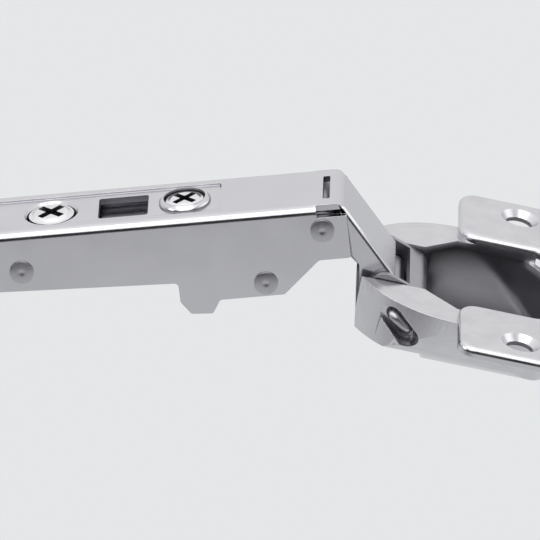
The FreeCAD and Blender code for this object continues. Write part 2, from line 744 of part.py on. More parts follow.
def make_can(body, radius, level, front_level, front_end, top, rounding):
    """A drawn can: a round-floored trough with a raised front, inside a cylinder."""
    high = top + rounding
    half = radius + 0.3
    profile = Outline(
        (-half, -level, rounding), (half, -level, rounding), (half, high), (-half, high))
    add(body, "trough", "YZ", -radius - 1, radius + 1, profile)
    front = Box(-radius - 2, front_end, -level - 1, -front_level)
    cut(body, "raised_front", "XZ", -radius - 1, radius + 1, front)
    cylinder = doc.addObject("PartDesign::Body", body.Name + "_cylinder")
    add(cylinder, "wall", "XY", -level - 1, top, Disc(0, 0, radius))
    combine(body, "round_wall", "Common", cylinder)


def combine(body, name, kind, other):
    boolean = body.newObject("PartDesign::Boolean", name)
    boolean.setObjects([other])
    boolean.Type = kind
    doc.recompute()


def staple_niche():
    """The straight middle of the niche, between the two axles."""
    run = s.outer_axle_place - s.inner_axle_place
    rise = s.inner_axle_drop - s.outer_axle_drop
    scale = s.niche_half / length(rise, run)
    shift_x, shift_z = -rise * scale, run * scale
    starts = (s.inner_axle_place, -s.inner_axle_drop)
    ends = (s.outer_axle_place, -s.outer_axle_drop)
    return Outline(
        (starts[0] + shift_x, starts[1] + shift_z),
        (starts[0] - shift_x, starts[1] - shift_z),
        (ends[0] - shift_x, ends[1] - shift_z),
        (ends[0] + shift_x, ends[1] + shift_z),
    )


def make_cup():
    """The cup: can, rails and screw wings drawn from one sheet."""
    body = new_body("cup_body")
    make_can(body, s.cup_radius, s.cup_depth, s.front_cup_depth, s.front_cup_end,
             Dim.of(0), s.cup_round)
    hollow = doc.addObject("PartDesign::Body", "cup_hollow")
    make_can(hollow, s.cup_radius - s.cup_wall, s.cup_depth - s.cup_wall,
             s.front_cup_depth - s.cup_wall, s.front_cup_end + s.cup_wall,
             -s.rail_thick, s.cup_round - s.cup_wall)
    seat_front = s.seat_rear - s.seat_length
    seat = Box(seat_front - 2, s.seat_rear + 1, -s.cup_radius - 1, -s.niche_face + s.cup_wall)
    far_seat = Box(seat_front - 2, s.seat_rear + 1, s.niche_face, s.cup_radius + 1)
    cut(hollow, "axle_seats", "XY", -s.cup_depth - 1, 0, seat, far_seat)
    combine(body, "hollow_out", "Cut", hollow)

    wing_half = s.wing_span / 2
    wing_rear = s.wing_front + s.wing_length
    wings = SquareOutline(
        (s.wing_front, -wing_half, s.wing_corner),
        (wing_rear, -wing_half, s.wing_corner),
        (wing_rear, wing_half, s.wing_corner),
        (s.wing_front, wing_half, s.wing_corner),
        (s.wing_front, s.mouth_half, s.mouth_corner),
        (s.mouth_rear, s.mouth_half, s.mouth_corner),
        (s.mouth_rear, -s.mouth_half, s.mouth_corner),
        (s.wing_front, -s.mouth_half, s.mouth_corner),
    )
    add(body, "wings", "XY", -0.2, s.wing_thick, wings)
    mouth = SquareOutline(
        (s.flare_rear, -s.mouth_half),
        (s.mouth_rear, -s.mouth_half, s.mouth_corner),
        (s.mouth_rear, s.mouth_half, s.mouth_corner),
        (s.flare_rear, s.mouth_half),
    )
    cut(body, "mouth", "XY", -s.rail_thick - 0.05, 0, mouth)
    slot = Outline(
        (-s.cup_radius - 3, -s.slot_half),
        (s.flare_front, -s.slot_half),
        (s.flare_rear, -s.mouth_half),
        (s.flare_rear, s.mouth_half),
        (s.flare_front, s.slot_half),
        (-s.cup_radius - 3, s.slot_half),
    )
    cut(body, "slot", "XY", -s.rail_thick - 0.05, 0, slot)
    entry = Box(-s.slot_half, s.slot_half, -s.entry_depth, 1, 0.8)
    cut(body, "entry", "YZ", -s.cup_radius - 1, -s.cup_radius + 4.5, entry)
    low, high = -s.cup_radius - 1, -s.niche_face
    cut(body, "niche", "XZ", low, high, staple_niche())
    cut(body, "niche_front", "XZ", low, high,
        Disc(s.inner_axle_place, -s.inner_axle_drop, s.niche_half))
    cut(body, "niche_rear", "XZ", low, high,
        Disc(s.outer_axle_place, -s.outer_axle_drop, s.niche_half))
    axles = [
        Disc(s.inner_axle_place, -s.inner_axle_drop, s.axle_radius),
        Disc(s.outer_axle_place, -s.outer_axle_drop, s.axle_radius),
    ]
    cut(body, "axle_holes", "XZ", -s.niche_face - 1, s.staple_end, *axles)
    spread = s.wing_span / 2 - s.screw_margin
    holes = [Disc(s.screw_setback, -spread, s.screw_hole / 2),
             Disc(s.screw_setback, spread, s.screw_hole / 2)]
    cut(body, "screw_holes", "XY", -1, s.wing_thick + 1, *holes)
    soften(body, "countersinks", (s.screw_sink - s.screw_hole) / 2, lambda edge: (
        is_ring(edge, s.screw_hole / 2) and middle_of(edge).z > 1), "Chamfer")
    place(body, s.cup_place, below(s.cup_drop), s.cup_tilt)


def make_staple():
    """The axle staple: one bent wire whose two legs carry both links."""
    body = new_body("cup_axle_staple")
    run = outer_axle[0] - inner_axle[0]
    rise = outer_axle[1] - inner_axle[1]
    reach = length(rise, run)
    face = s.niche_face + s.axle_radius + 0.06
    bend = s.staple_bend
    spots = [
        (0, s.staple_end), (0, bend - face), (bend, -face),
        (reach - bend, -face), (reach, bend - face), (reach, s.staple_end),
    ]
    spots = [(Dim.of(x), Dim.of(y)) for x, y in spots]
    points = [Vector(x.value, y.value, 0) for x, y in spots]
    path = sketch_on(body, "wire_path", "XY", 0, [])
    for first in (0, 2, 4):
        line = path.addGeometry(Part.LineSegment(points[first], points[first + 1]), False)
        hold_point(path, line, 1, *spots[first])
        hold_point(path, line, 2, *spots[first + 1])
    for line, centre in enumerate([bend, reach - bend]):
        start, end = points[2 * line + 1], points[2 * line + 2]
        hub = Vector(centre.value, points[1].y, 0)
        arc, first, last = add_arc(path, start, end, hub)
        path.addConstraint(Sketcher.Constraint("Coincident", line, 2, arc, first))
        path.addConstraint(Sketcher.Constraint("Coincident", line + 1, 1, arc, last))
        hold_place(path, "DistanceX", arc, 3, centre)
    section = sketch_on(body, "wire_section", "XZ", -s.staple_end, [Disc(0, 0, s.axle_radius)])
    pipe = body.newObject("PartDesign::AdditivePipe", "wire")
    pipe.Profile = section
    pipe.Spine = (path, [f"Edge{index}" for index in range(1, 6)])
    pipe.Mode = "Frenet"
    place(body, *inner_axle, bearing(-rise, run))


def make_coil(name, wire, coil, span, turns, start, centre):
    """A coil round a cross pin, with its axis along Y and its wire four-sided."""
    helix = doc.addObject("Part::Helix", name + "_path")
    helix.setExpression("Pitch", f"{span.text} / {turns.text}")
    helix.setExpression("Height", span.text)
    helix.setExpression("Radius", coil.text)
    section = doc.addObject("Part::RegularPolygon", name + "_section")
    section.Polygon = 4
    section.Placement = Placement(Vector(coil.value, 0, 0), Rotation(Vector(1, 0, 0), 90))
    section.setExpression("Circumradius", wire.text)
    section.setExpression("Placement.Base.x", coil.text)
    doc.recompute()
    sweep = doc.addObject("Part::Sweep", name)
    sweep.Sections = [section]
    sweep.Spine = (helix, ["Edge1"])
    sweep.Solid = True
    sweep.Frenet = True
    sweep.Label = name
    doc.recompute()
    x, z = centre
    start = Dim.of(start)
    turn = Rotation(Vector(1, 0, 0), -90)
    sweep.Placement = Placement(Vector(x.value, start.value, z.value), turn)
    spot = f"vector({x.text}; {start.text}; {z.text})"
    sweep.setExpression("Placement", f"placement({spot}; rotation(vector(1; 0; 0); 0 - 90))")
    nodes.append(sweep)


def make_adaptor():
    """The adaptor rail that clips on to the mounting plate."""
    body = new_body("adaptor_rail")
    half = s.rail_width / 2
    lip = -s.claw_radius - s.claw_lip
    sides = Outline(
        (s.rail_rear, below(s.rail_top)),
        (s.rail_front, below(s.rail_top)),
        (s.rail_front, lip, 1.4),
        (s.claw_rear, lip, 0.4),
        (s.claw_rear, below(s.rail_depth)),
        (s.rail_rear, below(s.rail_depth), 1.5),
    )
    add(body, "sides", "XZ", -half, half, sides)
    top = below(s.rail_top).value
    soften(body, "long_bends", s.rail_sheet, lambda edge: (
        runs_along(edge, Vector(1, 0, 0)) and abs(middle_of(edge).z - top) < 1e-3))
    inner = half - s.rail_sheet
    channel = Box(-inner, inner, below(30), below(s.rail_top + s.rail_sheet), 0.3)
    cut(body, "channel", "YZ", s.rail_rear - 1, s.rail_front + 1, channel)
    seat = Disc(0, 0, s.claw_radius)
    cut(body, "claw_seat", "XZ", -half - 1, half + 1, seat)
    mouth = Box(s.claw_rear - 4, 0, -s.claw_radius, s.claw_radius)
    cut(body, "claw_mouth", "XZ", -half - 1, half + 1, mouth)
    play = s.pin_radius + 0.1
    travel = s.depth_travel + 0.1
    tilt_slot = Box(s.tilt_place - travel - play, s.tilt_place + travel + play,
                    below(s.tilt_depth) - play, below(s.tilt_depth) + play, play * 0.98)
    cut(body, "tilt_slot", "XZ", -half - 1, half + 1, tilt_slot)
    cut(body, "lever_pin_holes", "XZ", -half - 1, half + 1,
        Disc(s.lever_place, below(s.lever_drop), s.lever_pin_radius))
    cam_half = s.cam_radius + s.cam_play
    cam_slot = Box(s.depth_place - cam_half, s.depth_place + cam_half,
                   -s.cam_radius * 0.2, s.cam_throw + s.cam_radius + 0.25, 0.9)
    window_half = s.foot_window_width / 2
    reach = s.foot_window_length / 2
    window = Box(s.side_place - reach, s.side_place + reach, -window_half, window_half, 1.0)
    cut(body, "top_openings", "XY", below(s.rail_top + 2), below(s.rail_top - 1), cam_slot, window)


def make_slide():
    """The depth slide between the adaptor and the arm."""
    body = new_body("depth_slide")
    half = s.slide_width / 2
    sides = Outline(
        (s.slide_rear, below(s.slide_top)),
        (s.slide_front, below(s.slide_top)),
        (s.slide_front, below(s.fork_depth), 1.0),
        (s.fork_rear, below(s.fork_depth), 1.0),
        (s.fork_rear, below(s.slide_depth)),
        (s.slide_rear, below(s.slide_depth), 1.5),
    )
    add(body, "sides", "XZ", -half, half, sides)
    top = below(s.slide_top).value
    soften(body, "long_bends", s.slide_sheet, lambda edge: (
        runs_along(edge, Vector(1, 0, 0)) and abs(middle_of(edge).z - top) < 1e-3))
    inner = half - s.slide_sheet
    channel = Box(-inner, inner, below(30), below(s.slide_top + s.slide_sheet), 0.3)
    cut(body, "channel", "YZ", s.slide_rear - 1, s.slide_front + 1, channel)
    grip = s.pin_radius + s.fork_play
    fork = Box(s.guide_place - grip, s.guide_place + grip, below(s.fork_depth + 3),
               below(s.guide_depth - s.pin_radius - s.tilt_rise), 0.8)
    cut(body, "forks", "XZ", -half - 1, half + 1, fork)
    bore = Disc(s.tilt_place, below(s.tilt_depth), s.pin_radius + s.running_fit)
    cut(body, "tilt_bores", "XZ", -half - 1, half + 1, bore)
    holes = [Disc(s.side_place, 0, s.neck_radius + s.running_fit),
             Disc(s.depth_place, 0, s.cam_throw + s.cam_radius + 0.1 + s.running_fit)]
    low = below(s.slide_top + s.slide_sheet + 1)
    cut(body, "neck_bores", "XY", low, below(s.slide_top - 1), *holes)


def cut_cross(body, x, head_top):
    """A cross recess turned by an eighth, in a screw's head."""
    half = s.recess_span / 2
    wide = s.recess_width / 2
    corner = cos(Dim.of(45))
    ends = [(half, -wide), (half, wide), (wide, wide), (wide, half), (-wide, half), (-wide, wide),
            (-half, wide), (-half, -wide), (-wide, -wide), (-wide, -half), (wide, -half), (wide, -wide)]
    turned = [(x + (u - v) * corner, (u + v) * corner) for u, v in ends]
    cut(body, "cross_recess", "XY", head_top - s.recess_depth, head_top + 1, Outline(*turned))


def make_side_screw():
    """The side screw: threaded in the arm's collar, held by its neck in the slide."""
    body = new_body("side_screw")
    head_top = below(s.panel_sink - s.side_proud)
    shoulder = below(s.slide_top - s.screw_gap)
    neck_end = below(s.slide_top + s.slide_sheet + s.screw_gap)
    add(body, "thread", "XY", shoulder, head_top, Disc(s.side_place, 0, s.side_radius))
    soften(body, "head_rim", 0.3, lambda edge: (
        is_ring(edge, s.side_radius) and middle_of(edge).z > head_top.value - 0.1), "Chamfer")
    add(body, "neck", "XY", neck_end, shoulder, Disc(s.side_place, 0, s.neck_radius))
    foot_end = neck_end - s.foot_height
    add(body, "foot", "XY", foot_end, neck_end, Disc(s.side_place, 0, s.foot_radius))
    cut_cross(body, s.side_place, head_top)


def make_depth_screw():
    """The depth screw: its cam pin stands in the adaptor's cross slot."""
    body = new_body("depth_screw")
    head_top = below(s.panel_sink + s.depth_sink)
    shoulder = below(s.slide_top - s.screw_gap)
    neck_end = below(s.slide_top + s.slide_sheet + s.screw_gap / 2)
    pin_end = below(s.rail_top + s.rail_sheet + s.screw_gap + s.washer_thick + 0.2)
    neck = s.cam_throw + s.cam_radius + 0.1
    add(body, "head", "XY", shoulder, head_top, Disc(s.depth_place, 0, s.depth_radius))
    soften(body, "head_rim", 0.3, lambda edge: (
        is_ring(edge, s.depth_radius) and middle_of(edge).z > head_top.value - 0.1), "Chamfer")
    add(body, "neck", "XY", neck_end, shoulder, Disc(s.depth_place, 0, neck))
    add(body, "cam_pin", "XY", pin_end, neck_end, Disc(s.depth_place, s.cam_throw, s.cam_radius))
    cut_cross(body, s.depth_place, head_top)


def make_cam_washer():
    """The washer peened on to the cam pin, under the adaptor's top."""
    body = new_body("depth_cam_washer")
    upper = below(s.rail_top + s.rail_sheet + s.screw_gap)
    add(body, "ring", "XY", upper - s.washer_thick, upper,
        Disc(s.depth_place, s.cam_throw, s.washer_radius))
    cut(body, "bore", "XY", upper - s.washer_thick - 1, upper + 1,
        Disc(s.depth_place, s.cam_throw, s.cam_radius))


def make_clip_lever():
    """The sprung clip lever: hook, two cheeks on a pin and a finger tab."""
    body = new_body("clip_lever")
    half = s.lever_width / 2
    pin = (s.lever_place, below(s.lever_drop))
    hook_tip = s.lever_place + s.hook_reach
    tab_end = s.lever_place - s.tab_reach
    hook = Outline(
        (s.lever_place - s.lever_eye, pin[1]),
        (s.lever_place - s.lever_eye, below(s.hook_end), 1.5),
        (hook_tip - 1.4, below(s.hook_end), 0.4),
        (hook_tip, below(s.hook_top + 0.6), 0.2),
        (hook_tip, below(s.hook_top), 0.2),
        (s.lever_place + s.lever_eye, below(s.hook_top)),
        (s.lever_place + s.lever_eye, pin[1]),
    )
    tab = Outline(
        (s.lever_place, below(s.tab_top)),
        (s.lever_place, pin[1]),
        (s.lever_place - s.lever_eye - 1.6, below(s.tab_top + s.lever_sheet), 0.8),
        (tab_end, below(s.tab_top + s.lever_sheet + 1.2), 0.3),
        (tab_end, below(s.tab_top + 1.2), 0.3),
        (s.lever_place - s.lever_eye - 1.2, below(s.tab_top), 0.8),
    )
    add(body, "hook", "XZ", -half, half, hook)
    add(body, "eye", "XZ", -half, half, Disc(*pin, s.lever_eye))
    add(body, "finger_tab", "XZ", -half, half, tab)
    inner = half - s.lever_sheet
    between = Box(s.lever_place - s.lever_eye - 0.4, s.lever_place + s.lever_eye + 1,
                  below(s.hook_top - 0.3), below(s.tab_top - 1), 0.5)
    cut(body, "between_cheeks", "XZ", -inner, inner, between)
    cut(body, "pin_bore", "XZ", -half - 1, half + 1, Disc(*pin, s.lever_pin_radius + s.running_fit))


def make_parts():
    half = s.arm_width / 2
    make_adaptor()
    make_clip_lever()
    make_pin("clip_lever_pin", s.lever_place, below(s.lever_drop), s.lever_pin_radius, s.rail_width / 2)
    make_coil("clip_lever_spring", s.coil_wire, s.coil_radius, s.coil_length, s.coil_turns,
              -s.coil_length / 2, (s.lever_place, below(s.lever_drop)))
    make_slide()
    make_depth_screw()
    make_cam_washer()
    make_side_screw()
    make_arm()
    make_pin("tilt_pin", s.tilt_place, below(s.tilt_depth), s.pin_radius, half, s.rivet_radius)
    make_guide_rivet("guide_rivet_near", -1)
    make_guide_rivet("guide_rivet_far", 1)
    make_pin("inner_link_pin", *inner_pin, s.pin_radius, half, s.rivet_radius)
    link_reach = s.nose_width / 2 + s.link_gap + s.link_thick
    make_pin("outer_link_pin", *outer_pin, s.outer_pin_radius, link_reach)
    make_inner_link()
    make_outer_link()
    make_cup()
    make_staple()
    make_coil("closing_spring_near", s.spring_wire, s.spring_coil, s.spring_length, s.spring_turns,
              -s.spring_start - s.spring_length, outer_axle)
    make_coil("closing_spring_far", s.spring_wire, s.spring_coil, s.spring_length, s.spring_turns,
              s.spring_start, outer_axle)


make_parts()
doc.recompute()

for item in doc.Objects:
    if "Invalid" in item.State or "Error" in item.State:
        raise ValueError(f"{item.Name} is {item.State}")
os.makedirs("parts", exist_ok=True)
for node in nodes:
    shape = node.Shape
    if shape.isNull() or not shape.isValid() or len(shape.Solids) != 1:
        raise ValueError(f"{node.Label} is not one valid solid")
    shape.exportStep(f"parts/{node.Label}.step")
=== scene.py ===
"""Clip-on cabinet hinge: the look of its pressed, turned and drawn steel parts.

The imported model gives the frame, in metres: +X along the arm towards the cup, +Y
across it and +Z up through the arm's top. Sizes here are millimetres unless noted.
"""

import json
import logging
import math
from dataclasses import dataclass, field
from enum import Enum
from functools import cache
from typing import Any, Sequence

import bmesh
import bpy
from mathutils import Matrix, Vector

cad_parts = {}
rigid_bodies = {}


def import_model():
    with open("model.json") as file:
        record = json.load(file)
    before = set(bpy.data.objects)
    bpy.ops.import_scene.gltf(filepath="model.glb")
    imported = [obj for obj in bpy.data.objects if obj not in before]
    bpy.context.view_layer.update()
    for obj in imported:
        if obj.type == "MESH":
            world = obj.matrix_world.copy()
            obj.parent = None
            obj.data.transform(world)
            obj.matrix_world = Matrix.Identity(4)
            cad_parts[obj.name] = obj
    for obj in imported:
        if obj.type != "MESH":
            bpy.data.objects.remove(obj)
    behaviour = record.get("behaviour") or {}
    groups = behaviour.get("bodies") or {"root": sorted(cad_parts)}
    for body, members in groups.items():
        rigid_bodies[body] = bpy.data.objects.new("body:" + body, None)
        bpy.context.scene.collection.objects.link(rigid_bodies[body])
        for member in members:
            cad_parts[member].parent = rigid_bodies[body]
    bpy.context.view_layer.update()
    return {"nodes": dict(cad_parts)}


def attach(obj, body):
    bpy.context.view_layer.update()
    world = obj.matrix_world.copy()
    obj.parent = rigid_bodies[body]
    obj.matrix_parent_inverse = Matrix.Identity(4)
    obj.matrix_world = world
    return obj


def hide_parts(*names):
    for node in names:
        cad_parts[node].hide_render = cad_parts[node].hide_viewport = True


MM = 0.001
log = logging.getLogger("hinge")

# Most values of a noise pattern lie between these two.
NOISE_LOW = 0.3
NOISE_HIGH = 0.7
# Rays that the shader sends out to find an edge that it rounds.
EDGE_SAMPLES = 6

# Points of a CAD mesh that lie closer than this are one point.
MERGE_GAP = 0.0005
# Faces that differ by less than this angle, in degrees, are one flat face.
LEVEL_ANGLE = 0.4
# An edge has to be at least this sharp, in degrees, to count as a fold.
FOLD_ANGLE = 40.0
# How much more a large face counts than a small one where their shading meets.
FLAT_WEIGHT = 90
# A point this close to a plane lies on it.
ON_PLANE = 0.03
# Edges of a made head or coil that are sharper than this, in degrees, stay sharp.
HEAD_ANGLE = 35.0
# With this profile a rounded fold is part of a circle.
ROUND_PROFILE = 0.5
# A place that is multiplied by this keeps only its distance from the Z axis.
FLATTENED = (1.0, 1.0, 0.0)


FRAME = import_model()


def linear(code: str) -> tuple[float, float, float, float]:
    """Turn an sRGB hex colour into Blender's linear one.

    Args:
        code: The colour as "#RRGGBB".

    Returns:
        Red, green, blue and a full alpha.
    """
    channels = [int(code[i:i + 2], 16) / 255 for i in (1, 3, 5)]
    turned = [c / 12.92 if c <= 0.04045 else ((c + 0.055) / 1.055) ** 2.4 for c in channels]
    return turned[0], turned[1], turned[2], 1.0


def add_node(
    tree: bpy.types.NodeTree,
    kind: str,
    inputs: dict[str | int, Any] | None = None,
    **settings: Any,
) -> bpy.types.Node:
    """Add a node with its settings, values and links.

    Args:
        tree: The node tree that gets the node.
        kind: The node's Blender type.
        inputs: For each input, by name or index, the socket to link or the value to set.
        **settings: The node's own properties.

    Returns:
        The new node.
    """
    node = tree.nodes.new(kind)
    for name, value in settings.items():
        setattr(node, name, value)
    for key, value in (inputs or {}).items():
        socket = node.inputs[key]
        if isinstance(value, bpy.types.NodeSocket):
            tree.links.new(value, socket)
        else:
            socket.default_value = value
    return node


def empty_material(name: str) -> bpy.types.Material:
    """Start a material that has no nodes yet.

    Args:
        name: The finish's name.

    Returns:
        The empty material.
    """
    material = bpy.data.materials.new(name)
    material.use_nodes = True
    material.node_tree.nodes.clear()
    return material


class Body(Enum):
    """The hinge's moving bodies."""

    ADAPTOR = "adaptor"
    LEVER = "lever"
    SLIDE = "slide"
    DEPTH_SCREW = "depth_screw"
    SIDE_SCREW = "side_screw"
    ARM = "arm"
    INNER_LINK = "inner_link"
    CUP = "cup"
    OUTER_LINK = "outer_link"


@dataclass(frozen=True)
class PlatedSheet:
    """Cold-rolled steel sheet, pressed and plated.

    The rolls leave faint lines along the strip, the press tool clouds the gloss, and the
    plating rounds off every edge. Real roll lines and grain lie a few hundredths of a
    millimetre apart, too fine to show, so both are drawn several times as coarse.
    """

    name: str
    tint: str = "#C9C8CC"
    shade: str = "#BDBCC1"
    roughness: float = 0.18
    rougher: float = 0.05
    smoother: float = 0.04
    cloud_size: float = 7.0
    cloud_detail: float = 3.0
    line_pitch: float = 0.22
    line_detail: float = 2.0
    line_stretch: float = 25.0
    line_share: float = 0.35
    line_gloss: float = 0.06
    grain_size: float = 0.35
    grain_detail: float = 2.0
    depth: float = 0.004
    relief: float = 0.35
    anisotropy: float = 0.25
    edge: float = 0.16

    def build(self) -> bpy.types.Material:
        """Build the material.

        Returns:
            The finished material.
        """
        material = empty_material(self.name)
        tree = material.node_tree
        place = add_node(tree, "ShaderNodeTexCoord").outputs["Object"]
        clouds = add_node(tree, "ShaderNodeTexNoise", {
            "Vector": place, "Scale": 1 / (self.cloud_size * MM), "Detail": self.cloud_detail})
        along = add_node(tree, "ShaderNodeMapping", {
            "Vector": place, "Scale": (1 / self.line_stretch, 1.0, 1.0)})
        lines = add_node(tree, "ShaderNodeTexNoise", {
            "Vector": along.outputs[0], "Scale": 1 / (self.line_pitch * MM),
            "Detail": self.line_detail})
        grain = add_node(tree, "ShaderNodeTexNoise", {
            "Vector": place, "Scale": 1 / (self.grain_size * MM), "Detail": self.grain_detail})
        pattern = add_node(tree, "ShaderNodeMix", {
            "Factor": self.line_share, "A": clouds.outputs[0], "B": lines.outputs[0]})
        colour = add_node(tree, "ShaderNodeMix", {
            "Factor": pattern.outputs[0], "A": linear(self.shade), "B": linear(self.tint)},
            data_type="RGBA")
        gloss = add_node(tree, "ShaderNodeMapRange", {
            "Value": clouds.outputs[0], "From Min": NOISE_LOW, "From Max": NOISE_HIGH,
            "To Min": self.roughness - self.smoother, "To Max": self.roughness + self.rougher})
        streaks = add_node(tree, "ShaderNodeMath", {
            0: lines.outputs[0], 1: self.line_gloss}, operation="MULTIPLY")
        rough = add_node(tree, "ShaderNodeMath", {
            0: gloss.outputs[0], 1: streaks.outputs[0]}, operation="ADD")
        relief = add_node(tree, "ShaderNodeMath", {
            0: lines.outputs[0], 1: grain.outputs[0]}, operation="ADD")
        rounded = add_node(tree, "ShaderNodeBevel", {
            "Radius": self.edge * MM}, samples=EDGE_SAMPLES)
        bump = add_node(tree, "ShaderNodeBump", {
            "Height": relief.outputs[0], "Strength": self.relief, "Distance": self.depth * MM,
            "Normal": rounded.outputs[0]})
        shader = add_node(tree, "ShaderNodeBsdfPrincipled", {
            "Base Color": colour.outputs["Result"], "Metallic": 1.0,
            "Roughness": rough.outputs[0], "Anisotropic": self.anisotropy,
            "Normal": bump.outputs[0]})
        add_node(tree, "ShaderNodeOutputMaterial", {"Surface": shader.outputs[0]})
        return material


@dataclass(frozen=True)
class TurnedSteel:
    """Turned or headed steel, tumbled and plated, as on rivets and screws.

    Tumbling leaves an even grain with faint spots. The real grain is too fine to show, so
    it is drawn several times as coarse.
    """

    name: str
    tint: str = "#D6D5D8"
    shade: str = "#AAA9AE"
    roughness: float = 0.3
    rougher: float = 0.12
    spot_size: float = 1.1
    spot_detail: float = 4.0
    grain_size: float = 0.12
    grain_detail: float = 1.0
    depth: float = 0.003
    relief: float = 0.3
    edge: float = 0.1

    def build(self) -> bpy.types.Material:
        """Build the material.

        Returns:
            The finished material.
        """
        material = empty_material(self.name)
        tree = material.node_tree
        place = add_node(tree, "ShaderNodeTexCoord").outputs["Object"]
        spots = add_node(tree, "ShaderNodeTexNoise", {
            "Vector": place, "Scale": 1 / (self.spot_size * MM), "Detail": self.spot_detail})
        grain = add_node(tree, "ShaderNodeTexNoise", {
            "Vector": place, "Scale": 1 / (self.grain_size * MM), "Detail": self.grain_detail})
        colour = add_node(tree, "ShaderNodeMix", {
            "Factor": spots.outputs[0], "A": linear(self.shade), "B": linear(self.tint)},
            data_type="RGBA")
        gloss = add_node(tree, "ShaderNodeMapRange", {
            "Value": spots.outputs[0], "From Min": NOISE_LOW, "From Max": NOISE_HIGH,
            "To Min": self.roughness, "To Max": self.roughness + self.rougher})
        rounded = add_node(tree, "ShaderNodeBevel", {
            "Radius": self.edge * MM}, samples=EDGE_SAMPLES)
        bump = add_node(tree, "ShaderNodeBump", {
            "Height": grain.outputs[0], "Strength": self.relief, "Distance": self.depth * MM,
            "Normal": rounded.outputs[0]})
        shader = add_node(tree, "ShaderNodeBsdfPrincipled", {
            "Base Color": colour.outputs["Result"], "Metallic": 1.0,
            "Roughness": gloss.outputs[0], "Normal": bump.outputs[0]})
        add_node(tree, "ShaderNodeOutputMaterial", {"Surface": shader.outputs[0]})
        return material


Finish = PlatedSheet | TurnedSteel

# Nickel on smooth strip: a bright satin, with wide soft clouds in its reflections.
ARM_NICKEL = PlatedSheet("nickel_plated_arm_sheet")
# Deep drawing polishes the sheet against the die: lighter, and clouded more closely.
CUP_NICKEL = PlatedSheet(
    "nickel_plated_deep_drawn_sheet", tint="#D6D5D8", shade="#B4B3B8", roughness=0.2,
    cloud_size=4.0)
# The links are barrel plated, which scuffs them: greyer and duller than the arm.
LINK_NICKEL = PlatedSheet(
    "nickel_plated_link_sheet", tint="#A9A8AD", shade="#939297", roughness=0.3, cloud_size=3.0)
# Painted shade: the cup's inside and its screw holes' walls get a dark, dull tint, with a wide
# soft inner corner.
CUP_INSIDE_PAINTED_SHADE = PlatedSheet(
    "cup_inside_painted_shade", tint="#87868B", shade="#66656A", roughness=0.5, cloud_size=3.5,
    edge=2.2)
# A punch tears the lower half of a cut, which dulls it; the darker tint of cut edges is also
# painted shade in the arm's openings.
CUT_EDGE_AND_PAINTED_SHADE = PlatedSheet(
    "sheared_edge_and_painted_shade", tint="#939297", shade="#6F6E73", roughness=0.4, cloud_size=0.8)
# Zinc is greyer than nickel and hazes over: the adaptor and the lever look matt.
ZINC = PlatedSheet(
    "zinc_plated_sheet", tint="#9A9B9E", shade="#7F8083", roughness=0.36, cloud_size=4.0)
# A rivet's head is hammered after plating: even, and a little greyer than the arm.
RIVET = TurnedSteel("plated_rivet_steel", tint="#BFBEC3", shade="#9D9CA1")
# Screws are plated one by one and keep the brightest gloss of all pieces.
SCREW = TurnedSteel("bright_plated_screw", tint="#E6E5E7", shade="#CDCCD0", roughness=0.16)
# The punch makes the driver recess; its near-black tint is painted shade, the darkest place of a
# screw.
RECESS_PAINTED_SHADE = TurnedSteel("driver_recess_painted_shade", tint="#4E4E51", shade="#37373A", roughness=0.35)
# Oiled spring wire keeps the drawing die's dark grey skin.
SPRING = TurnedSteel("drawn_spring_wire", tint="#8F8F93", shade="#6E6E73")


@cache
def material_of(finish: Finish) -> bpy.types.Material:
    """The material of a finish, built once."""
    return finish.build()


@dataclass
class DressedPiece:
    """A piece taken over from the CAD, with its folds rounded and its surface finished.

    Edges flatter than edge_angle, in degrees, are shaded as one round surface.
    """

    node: str
    body: Body
    slot: str
    finish: Finish
    second: Finish | None = None
    fold: float = 0.0
    fold_segments: int = 5
    edge_angle: float = 32.0

    def is_fold(self, line: bmesh.types.BMEdge) -> bool:
        """Say whether an edge is rounded in the mesh; most pieces have none."""
        return False

    def reshape(self, shape: bmesh.types.BMesh) -> None:
        """Change the copied mesh before its folds are rounded; most pieces stay as they are."""

    def in_second_finish(self, centre: Vector, normal: Vector) -> bool:
        """Say whether a face, by its centre in millimetres and normal, has the other finish."""
        return False

    def shaped(self) -> bpy.types.Mesh:
        """Copy the CAD node's mesh, reshape it and round its folds.

        Returns:
            The new mesh, still without a finish.
        """
        mesh = bpy.data.meshes.new(self.node + "_dressed")
        shape = bmesh.new()
        shape.from_mesh(FRAME["nodes"][self.node].data)
        bmesh.ops.remove_doubles(shape, verts=shape.verts, dist=MERGE_GAP * MM)
        self.reshape(shape)
        bmesh.ops.dissolve_limit(
            shape, angle_limit=math.radians(LEVEL_ANGLE), verts=shape.verts, edges=shape.edges)
        folds = [line for line in shape.edges if line.is_manifold
                 and line.calc_face_angle() > math.radians(FOLD_ANGLE) and self.is_fold(line)]
        if folds:
            bmesh.ops.bevel(
                shape, geom=folds, offset=self.fold * MM, segments=self.fold_segments,
                profile=ROUND_PROFILE, affect="EDGES", clamp_overlap=False)
            log.info("%s has %d fold edges rounded", self.node, len(folds))
        shape.to_mesh(mesh)
        shape.free()
        return mesh

    def build(self) -> bpy.types.Object:
        """Build the piece and dress it.

        Returns:
            The finished piece.
        """
        mesh = self.shaped()
        mesh.materials.clear()
        mesh.materials.append(material_of(self.finish))
        if self.second:
            mesh.materials.append(material_of(self.second))
        for face in mesh.polygons:
            face.use_smooth = True
            picked = self.second and self.in_second_finish(face.center / MM, face.normal)
            face.material_index = 1 if picked else 0
        mesh.set_sharp_from_angle(angle=math.radians(self.edge_angle))
        piece = bpy.data.objects.new(self.node + "_dressed", mesh)
        bpy.context.scene.collection.objects.link(piece)
        flat = piece.modifiers.new("flat_faces_stay_flat", "WEIGHTED_NORMAL")
        flat.keep_sharp = True
        flat.weight = FLAT_WEIGHT
        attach(piece, self.body.value)
        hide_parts(self.node)
        log.info("%s dressed in %s", self.node, self.finish.name)
        return piece


